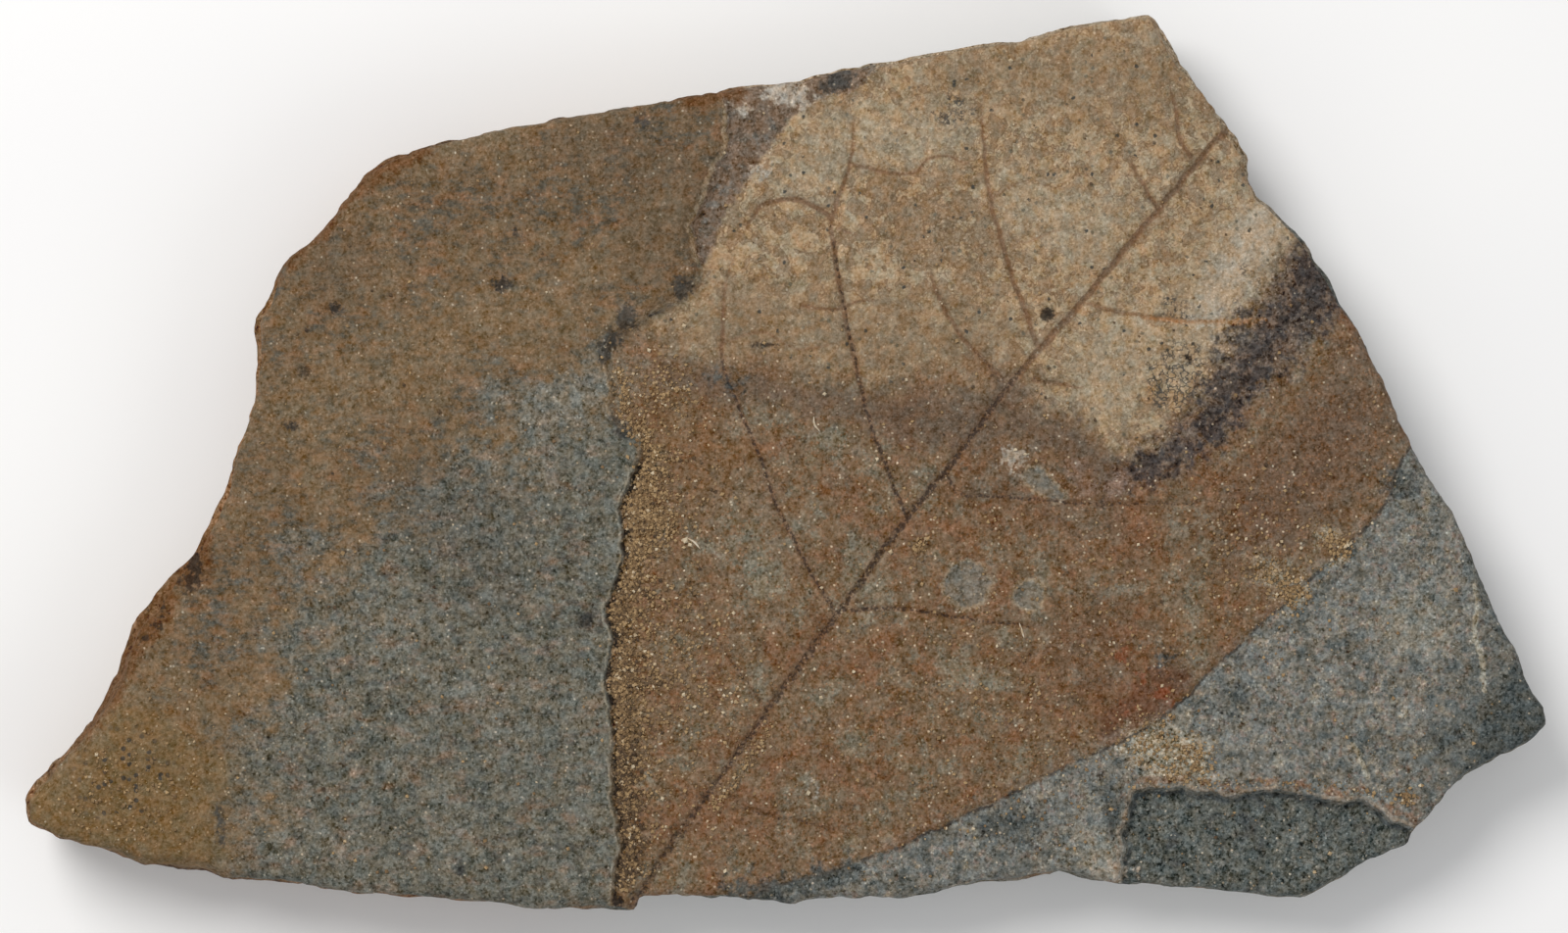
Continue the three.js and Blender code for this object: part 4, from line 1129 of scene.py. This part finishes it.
def matrix_coat(s):
    """The bed around the leaf: grey, freckled and crusted, brown in the top wedge, dark in the flake."""
    wisps = abs(s.noise(4.5, 3, seed=38, rough=0.6)).step(0.045, 0.0)
    coat = Coat(s, MATRIX, 1.45).layers(
        ((s.flecks + s.blots * 0.5).step(0.0, 0.5) * 0.8, MATRIX_WARM),
        ((s.blots * -1 + s.patches * 0.6 + s.flecks * 0.4).step(0.05, 0.5) * 0.85, MATRIX_DARK),
        ((s.curds - s.patches * 0.5).step(0.2, 0.5) * 0.7, MATRIX_PALE),
        (wisps * (s.blots + s.flecks * 0.5).step(-0.1, 0.3) * 0.65, MATRIX_WISP),
    )
    coat = shifted(s, coat, s.patches * 7 + s.blots * 3, MATRIX_DARK, 0.6, MATRIX_PALE, 0.4)
    wedge = Coat(s, WEDGE, 1.45).under((s.blots + s.flecks * 0.4).step(0.0, 0.4) * 0.7, WEDGE_GREY)
    sunk = Coat(s, RECESS, 2.2).layers(
        ((s.blots + s.patches * 0.8).step(0.0, 0.5) * 0.8, RECESS_DARK_AND_SHADOW),
        ((s.flecks - s.patches * 0.6).step(0.15, 0.5) * 0.7, MATRIX),
    )
    coat = coat.under(s.mark("wedge"), wedge).lit(s.flecks * 0.12 + 1.02)
    return coat.under(s.zone("flake", -0.1, 0.5, flecks=0.8) * 0.92, sunk)


def side_coat(s):
    """The broken sides: beds of brown and grey, rusty under the upper bed, and under the bleached part a
    paler tan near the rim, partly painted light that lifts the rim's shade.
    """
    s.space = "3D"
    beds = s.noise(1.5, 3, seed=19, place=s.moved(s.place, (0.07, 0.07, 1)))
    blots = s.noise(5, 3, seed=20)
    grains = s.noise(0.9, 2, seed=21)
    streaks = (beds + grains * 0.5).step(-0.1, 0.4)
    rusty = s.blend(blots.step(0.05, 0.5) * 0.6, s.blend(streaks, SIDE_RUST, SIDE_DARK), BED_SLATE)
    plain = s.blend(blots.step(0.0, 0.5) * 0.7, s.blend(streaks, SIDE_GREY, MATRIX_DARK), SIDE_RUST)
    # Painted light, partly: the upper sides under the bleached part turned a paler tan, so the rim seen from
    # above shows less shade.
    tan_and_light_share = (s.mark("bleach") + blots * 5).step(0, 7) * (s.mark("side") + grains * 0.1).step(0.6, 0.3)
    plain = s.blend(tan_and_light_share * 0.8, plain, SIDE_TAN_AND_LIGHT)
    colour = s.blend((s.mark("cover") + blots * 14).step(-3, 10), plain, rusty)
    return Coat(s, s.blend((s.mark("side") + grains * 0.03).step(0.97, 0.995), colour, UNDERSIDE), 2)


def edged(s, coat):
    """The foot of the upper bed's broken edge: its pale lip with a painted highlight, sand against it,
    painted shade in the hollows under the lip and between grains, and painted light on the worn wall.
    """
    cover = s.mark("cover") + s.flecks * 0.25
    foot = s.mark("foot")
    on_foot = foot.step(0, 0.5)
    reach = cover + s.blots * 2.5 + s.broad * 2 - foot.rest() * 3
    strip = reach.step(-5, -0.4) * cover.step(0.1, -0.3) * on_foot
    away, chances = s.bits
    # Painted shade: near-black gaps in the sand low on the foot, close to the broken edge.
    low = foot.step(0.95, 0.55) * foot.step(0, 0.4) * cover.step(-4.5, -1.8) * cover.step(-0.4, -1)
    near = (cover + s.curds * 3).step(-4, -0.8)
    # Painted shade: dark gaps between the grains of sand near the edge.
    grain_gap_shade = strip * near * away.step(0.25, 0.5) * (chances[0] + s.blots * 0.5).step(0.35, 0.6)
    # Painted shadow: the hollows under the lip of the broken edge, darkened.
    hollow_shade = abs(cover + 0.7).step(0.95, 0.5) * (s.curds + s.flecks * 0.5).step(-0.2, 0.1) * on_foot
    # A paler colour on the worn wall of the broken edge, towards the top: partly pale crust, partly painted
    # light that lifts the wall's shade.
    wall_pale_and_light = foot.rest() * abs(cover - 0.1).step(0.5, 0.15) * s.blots.step(-0.6, 0)
    # A pale line along the crest of the broken edge: partly pale crust, partly a painted highlight where the
    # crest catches the light.
    lip = abs(cover - 0.34).step(0.24, 0.08) * foot * s.blots.step(-0.5, 0)
    return coat.layers(
        (strip * 0.65, SAND, 2.6),
        (low * (s.curds + s.flecks).step(0.1, 0.4) * 0.85, SHADE_AND_BLACK),
        (grain_gap_shade, SHADE_AND_BLACK),
        (hollow_shade * 0.9, SHADE_AND_BLACK),
        (wall_pale_and_light * 0.8, WALL_PALE_AND_LIGHT, 1.2),
        (lip * 0.75, LIP_PALE_AND_HIGHLIGHT, 0.8),
    )


def spotted(s, coat):
    """Single stains: pale films, black spots, sand, the flake's lip, crusted ridges and cracks; and painted
    shade under the flake's lip, along the blade's margin, in pits and in some of the black spots.
    """
    flake = s.mark("flake") + s.flecks * 0.35
    margin = s.mark("blade") + s.flecks * 0.3
    edge = s.mark("wedge").rest() * s.mark("cover").step(-0.5, -1.5)
    return coat.layers(
        (s.zone("sand", -1.5, 2, curds=3, blots=2) * 0.65, SAND_PALE, 2.4),
        (s.zone("pale", -0.5, 0.9, flecks=3, blots=2) * 0.7, WHITE_FILM, 1),
        (abs(flake + 1.25).step(0.7, 0.3) * s.blots.step(-0.1, 0.25) * 0.65, OCHRE_SAND, 2),
        # Painted shadow: a dark strip in the recess just under the flake's lip.
        (abs(flake - 0.45).step(0.42, 0.15) * s.blots.step(0.3, -0.1) * 0.8, RECESS_DARK_AND_SHADOW),
        (abs(flake + 0.5).step(0.34, 0.14) * s.curds.step(-0.5, 0) * 0.8, LIP_PINK, 1.2),
        (abs(margin - 0.9).step(0.8, 0.2) * edge * s.blots.step(-0.3, 0.2) * 0.4, MARGIN_PALE),
        # A thin dark line along the blade's margin: partly a crack, partly painted shadow below the blade's
        # small edge.
        (abs(margin + 0.05).step(0.28, 0.08) * edge * s.blots.step(0.15, -0.1) * 0.75, MARGIN_CRACK_AND_SHADOW),
        (s.zone("ridge", 0.25, 0.6, flecks=0.5) * 0.8, MATRIX_WISP),
        (s.mark("crack").step(0.2, 0.7) * 0.7, MATRIX_DARK),
        (s.zone("dusk", -1.2, 1.2, flecks=2.5, blots=3) * 0.8, DUSK, 2),
        # Dark spots: real ones, and painted shade in pits and under the broken edge's lip.
        (s.zone("dark", -0.3, 0.5, curds=1.2, dust=0.8) * 0.8, BLACK_SPOT_AND_SHADE),
        (s.zone("amber", -0.2, 0.3, dust=0.5) * 0.6, AMBER),
        # Painted shade: the pits darkened.
        (s.zone("pit", 0.6, 1.1, dust=0.8) * 0.6, SHADE_AND_BLACK),
    )


def stone_material():
    """The whole stone: each zone's colour and grain, its relief and its roughness."""
    s = Shade("stone")
    weathered(s)
    coat = matrix_coat(s).layers(
        (s.zone("blade", -0.4, 0.4, flecks=0.7), leaf_coat(s)),
        (s.zone("cover", -0.3, -0.05, flecks=0.2), bed_coat(s)),
    )
    away, chances = s.bits
    upper = s.zone("side", 0.55, 0.3, curds=0.1)
    # Painted shade: the hole at the left rim and the small hollows beside it, darkened near the top of the
    # stone.
    hollow_shade = s.zone("hollow_shade", -0.2, 0.8, curds=2.5, flecks=2) * upper
    coat = spotted(s, edged(s, coat)).layers(
        (chances[1].step(0.975, 0.99) * away.step(0.5, 0.25) * 0.5, GLINT),
        (s.zone("side", 0.1, 0.24, curds=0.06), side_coat(s)),
        (s.zone("rust", -0.8, 0.8, blots=2) * upper * 0.85, RUST, 1.5),
        (hollow_shade * 0.75, SHADE_AND_BLACK),
        # Near-black in the pits and in a few black marks; in the pits it is painted shade.
        (s.zone("black", -0.15, 0.3, flecks=0.6, dust=0.4) * 0.85, SHADE_AND_BLACK),
    )
    grit = s.noise(0.4, 1, seed=41)
    return s.finish(s.grained(coat), s.flecks * 0.06 + 0.9, grit)


# ---- Loose sand and fibres

FOOT_GRAINS = 10000     # grains of sand at the foot of the broken edge
LONE_GRAINS = 1200      # and scattered over the whole face
GRAIN_SIZES = (0.09, 0.34)
GRAIN_LIFT = 0.35       # how far a grain's middle lies above the face, as a share of its size
SAND_TOP = 3            # how far up the slab sand lies against that edge
FOOT_SPREADS = (0.8, 2.8)       # most of it lies close by, and some of it farther off
SPREAD_CHANCES = (0.6, 0.4)
LOW_FOOT = -36          # below this the strip of sand is half as wide
# Painted shade: half of the grains near the lower broken edge are darkened.
SHADED_FOOT = -15         # below this half of its grains are dark
SHADED_WIDTH = 3.5        # as far as this from the edge
SHADED_TINTS = (0.24, 0.42)       # the palest tint of these, in the low part and above it
DARKEST = (0.12, 0.1, 0.3)      # the darkest tint at the foot, of lone grains, and in patches
SAND_MARGIN = 1.6       # no sand lies nearer to the rim
GRAIN_DARK, GRAIN_BROWN = (66, 52, 40), (134, 108, 76)
GRAIN_TAN, GRAIN_WHITE = (170, 142, 103), (208, 192, 164)
FIBRE_PALE, FIBRE_TAN = (214, 202, 182), (182, 160, 130)
FIBRE_RADIUS, FIBRE_SIDES = 0.16, 5
FIBRE_STEP, FIBRE_LIFT = 0.25, 0.06
FIBRES = [
    [[3.5, 6], [3.6, 5], [4.3, 4.1]],
    [[-12.8, -9.4], [-11.8, -9.9], [-10.9, -10.9]],
    [[29.7, -20.3], [30.3, -22.2]],
]
# Single larger grains: place and size.
CRUMBS = [
    (-12.8, -9.8, 0.5), (-12.2, -10.3, 0.35), (11.6, 0.6, 0.3), (13.1, 0.7, 0.3), (15.3, 10.7, 0.3),
    (-7.9, -29.5, 0.27), (-6.9, -30.3, 0.22), (-7.1, -29.2, 0.24), (-6.1, -29.6, 0.2), (-8.4, -30.6, 0.2),
    (-5.6, -30.8, 0.22), (8.6, -26.5, 0.28), (3.6, -26.2, 0.27), (-16.9, -28.4, 0.26), (4.9, 8.9, 0.28),
    (2.8, -41.9, 0.35), (-17.5, 14.4, 0.3), (29.2, 1.8, 0.3), (30.4, 1.2, 0.3),
]
# Patches of sand beside those among the stains, and how many grains lie in each patch of both.
SAND_SPRINKLES = [
    [(53, -40.8, 0.6), (66, -40.9, 0.6), (79, -42.6, 0.8)], [(-17, -3, 2.2), (-16, -8, 1.8)],
    [(-84, -42, 9)], [(-8, -42, 9), (-14, -25, 6)], [(30, -32, 16)], [(60, -12, 8)],
    [(-21.2, 12, 0.7), (-20.4, 7, 0.9), (-18, 3.5, 1.2)], [(-14, 4, 4), (-16, 10, 3)],
    [(-1.4, -33, 0.45), (-5.2, -38.2, 0.5), (-9, -43.4, 0.6)], [(15.8, -11.7, 0.9), (17, -10.4, 0.6)],
]
SAND_COUNTS = [420, 300, 200, 160, 420, 400, 550, 600, 300, 420, 300, 150, 60]


def sand_places(rim):
    """Where each grain lies, thickest at the foot of the broken edge, and its darkest and palest tint."""
    rng = np.random.default_rng(11)
    edge = broken_edge[broken_edge[:, 1] < SAND_TOP]
    picked = rng.integers(1, len(edge) - 1, FOOT_GRAINS)
    away = rng.exponential(1, FOOT_GRAINS) * rng.choice(FOOT_SPREADS, FOOT_GRAINS, p=SPREAD_CHANCES)
    away = 1 + away * np.where(edge[picked, 1] < LOW_FOOT, 0.5, 1)
    foot = edge[picked] + left_of(edge[picked + 1] - edge[picked - 1]) * away[:, None]
    foot += rng.normal(0, 0.25, foot.shape)
    patches = []
    for chain, count in zip(STAINS["sand"] + SAND_SPRINKLES, SAND_COUNTS):
        links = np.array(chain)
        after = links[np.minimum(np.arange(len(links)) + 1, len(links) - 1)]
        picked, share = rng.integers(0, len(links), count), rng.uniform(0, 1, (count, 1))
        x, y, radius = (links[picked] * (1 - share) + after[picked] * share).T
        spread = rng.normal(0, 0.7, (count, 2)) * radius[:, None]
        patches.append(np.column_stack([x, y]) + spread)
    lone = rng.uniform((-97, -57), (97, 57), (LONE_GRAINS, 2))
    places = np.vstack([foot, lone] + patches)
    darkest = np.repeat(DARKEST, (FOOT_GRAINS, LONE_GRAINS, len(places) - FOOT_GRAINS - LONE_GRAINS))
    palest = np.ones(len(places))
    # Painted shade: half of the grains close to the broken edge, low on the slab, darkened.
    shaded_grains = (foot[:, 1] < SHADED_FOOT) & (away < SHADED_WIDTH) & (np.arange(FOOT_GRAINS) % 2 == 0)
    palest[:FOOT_GRAINS][shaded_grains] = np.where(foot[shaded_grains, 1] < LOW_FOOT, *SHADED_TINTS)
    kept = inside(rim, *places.T) & (from_ring(rim, *places.T, 4) > SAND_MARGIN)
    places = places[kept]
    return on_face(places), darkest[kept], palest[kept]


def on_face(places):
    """The places with the height of the face there."""
    return np.column_stack([places, face(*places.T)[0]])


def many(shape, triangles, places, sizes, rng):
    """Copies of one small shape at many places, each turned and stretched at random, as arrays."""
    count, corners = len(places), len(shape)
    turns = rng.normal(size=(count, 4))
    turns /= np.linalg.norm(turns, axis=1)[:, None]
    w, x, y, z = turns.T
    rows = np.array([[1 - 2 * (y * y + z * z), 2 * (x * y - z * w), 2 * (x * z + y * w)],
                     [2 * (x * y + z * w), 1 - 2 * (x * x + z * z), 2 * (y * z - x * w)],
                     [2 * (x * z - y * w), 2 * (y * z + x * w), 1 - 2 * (x * x + y * y)]])
    stretched = shape[None] * rng.uniform(0.7, 1.3, (count, corners, 1)) * sizes[:, None, None]
    points = np.einsum("ijn,nkj->nki", rows, stretched) + places[:, None]
    faces = triangles[None] + (np.arange(count) * corners)[:, None, None]
    return points.reshape(-1, 3), faces.reshape(-1, 3)


def build_sand(rim, centre):
    """Loose grains of sand as small eight-sided lumps, a third of each sunk in the face."""
    rng = np.random.default_rng(12)
    places, darkest, palest = sand_places(rim)
    sizes = rng.uniform(0, 1, len(places)) ** 2 * (GRAIN_SIZES[1] - GRAIN_SIZES[0]) + GRAIN_SIZES[0]
    tints = rng.uniform(darkest, palest)
    crumbs = np.array(CRUMBS)
    places = np.vstack([places, on_face(crumbs[:, :2])])
    sizes, tints = np.append(sizes, crumbs[:, 2]), np.append(tints, np.ones(len(crumbs)))
    places[:, 2] += sizes * GRAIN_LIFT
    shape = np.array([[1, 0, 0], [-1, 0, 0], [0, 1, 0], [0, -1, 0], [0, 0, 1], [0, 0, -1]], float)
    upper = [[0, 2, 4], [2, 1, 4], [1, 3, 4], [3, 0, 4]]
    lower = [[2, 0, 5], [1, 2, 5], [3, 1, 5], [0, 3, 5]]
    points, faces = many(shape, np.array(upper + lower), places, sizes, rng)
    tint = np.repeat(tints, len(shape))
    return make_mesh("sand_grains", points - centre, faces, dict(tint=tint), sand_material(), smooth=False)


def sand_material():
    """Sand: each grain brown, ochre, tan or nearly white, with its own fine mottling."""
    s = Shade("sand")
    tint, colour = s.mark("tint"), GRAIN_DARK
    for low, high, over in ((0.05, 0.45, GRAIN_BROWN), (0.45, 0.85, GRAIN_TAN), (0.93, 1, GRAIN_WHITE)):
        colour = s.blend(tint.step(low, high), colour, over)
    mottle = s.noise(0.2, 2)
    return s.finish(s.scaled(colour, mottle * 0.3 + 1), mottle * 0.1 + 0.7)


def mottled(name, noise, ends, colours, sway, roughness):
    """A plain material, whose colour and roughness vary with one soft noise."""
    s = Shade(name)
    mottle = s.noise(*noise)
    return s.finish(s.blend(mottle.step(*ends), *colours), mottle * sway + roughness)


def build_fibres(centre):
    """Pale fibres that lie on the face, as thin rods."""
    points, faces = [], []
    for line in FIBRES:
        curve = smooth_line(line, FIBRE_STEP)
        count, start = len(curve), sum(len(p) for p in points)
        middle = on_face(curve) + (0, 0, FIBRE_LIFT)
        across = np.column_stack([left_of(np.gradient(curve, axis=0)), np.zeros(count)])
        thick = FIBRE_RADIUS * np.sin(np.linspace(0.25, np.pi - 0.25, count))[:, None]
        i = np.arange(count - 1)
        for k in range(FIBRE_SIDES):
            turn = 2 * np.pi * k / FIBRE_SIDES
            points.append(middle + thick * across * np.cos(turn) + thick * (0, 0, np.sin(turn)))
            a, b = start + k * count + i, start + (k + 1) % FIBRE_SIDES * count + i
            faces += [np.column_stack([a, a + 1, b]), np.column_stack([b, a + 1, b + 1])]
        caps = start + np.arange(FIBRE_SIDES) * count
        for k in range(1, FIBRE_SIDES - 1):
            faces += [caps[[[0, k, k + 1]]], caps[[[0, k + 1, k]]] + count - 1]
    material = mottled("fibre", (0.4, 2), (-0.3, 0.4), (FIBRE_PALE, FIBRE_TAN), 0.1, 0.75)
    return make_mesh("fibres", np.vstack(points) - centre, np.vstack(faces), {}, material)


# ---- Stage

VIEW_WIDTH = 200        # width of the camera's view at the height of the face
VIEW_HEIGHT = 14        # that height
VIEW_CENTRE = (-0.28, -0.4)
LENS, SENSOR = 180, 36
FLOOR_PALE, FLOOR_GREY = (252, 252, 252), (249, 249, 250)
FLOOR_HALF = 2500       # half the width of the floor
KEY_POWER, FILL_POWER, ROOM = 7.5, 1.8, 0.46


def add(data, name, place, aim=None):
    """A camera or a light at a place, turned towards another."""
    made = bpy.data.objects.new(name, data)
    made.location = Vector(place) * MM
    if aim is not None:
        made.rotation_euler = (Vector(aim) - Vector(place)).to_track_quat("-Z", "Y").to_euler()
    bpy.context.scene.collection.objects.link(made)
    return made


def camera():
    """The camera straight above the face."""
    data = bpy.data.cameras.new("camera")
    data.lens, data.sensor_width = LENS, SENSOR
    x, y = VIEW_CENTRE
    made = add(data, "camera", (x, y, VIEW_HEIGHT + VIEW_WIDTH * LENS / SENSOR))
    bpy.context.scene.camera = made


def softbox(name, place, size, power, colour=(1, 1, 1)):
    data = bpy.data.lights.new(name, "AREA")
    data.shape, data.size = "DISK", size * MM
    data.energy, data.color = power, colour
    return add(data, name, place, aim=(0, 0, 0))


def lights():
    """A large soft light from the upper left, a weak one from the lower right, and a pale room."""
    softbox("key", (-460, 520, 860), 600, KEY_POWER, (1, 0.98, 0.95))
    softbox("fill", (700, -500, 600), 800, FILL_POWER, (0.95, 0.98, 1))
    world = bpy.data.worlds.new("room")
    world.use_nodes = True
    background = world.node_tree.nodes["Background"].inputs
    background["Color"].default_value = (1, 1, 1, 1)
    background["Strength"].default_value = ROOM
    bpy.context.scene.world = world
    bpy.context.scene.view_settings.view_transform = "Standard"


def floor():
    """A wide pale floor under the stone."""
    material = mottled("floor", (60, 1), (-0.5, 0.5), (FLOOR_PALE, FLOOR_GREY), 0.02, 0.9)
    corners = FLOOR_HALF * np.array([[-1, -1, 0], [1, -1, 0], [1, 1, 0], [-1, 1, 0]], float)
    made = make_mesh("floor", corners, np.array([[0, 1, 2], [0, 2, 3]]), {}, material, smooth=False)


# ---- The object

def dress():
    """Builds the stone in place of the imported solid, with what lies on it."""
    vertices, faces, marks, rim = build_stone()
    low, high = CAD_BOX
    middle = (vertices.min(0) + vertices.max(0)) / 2
    centre = middle - np.array([*((low + high) / 2 / MM)])
    centre[2] = 0
    marks.update(zones(*vertices[:, :2].T))
    stone = make_mesh("fossil_leaf", vertices - centre, faces, marks, stone_material())
    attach(stone, "root")
    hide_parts(NODE)
    for piece in (build_sand(rim, centre), build_fibres(centre)):
        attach(piece, "root")


dress()
floor()
lights()
camera()
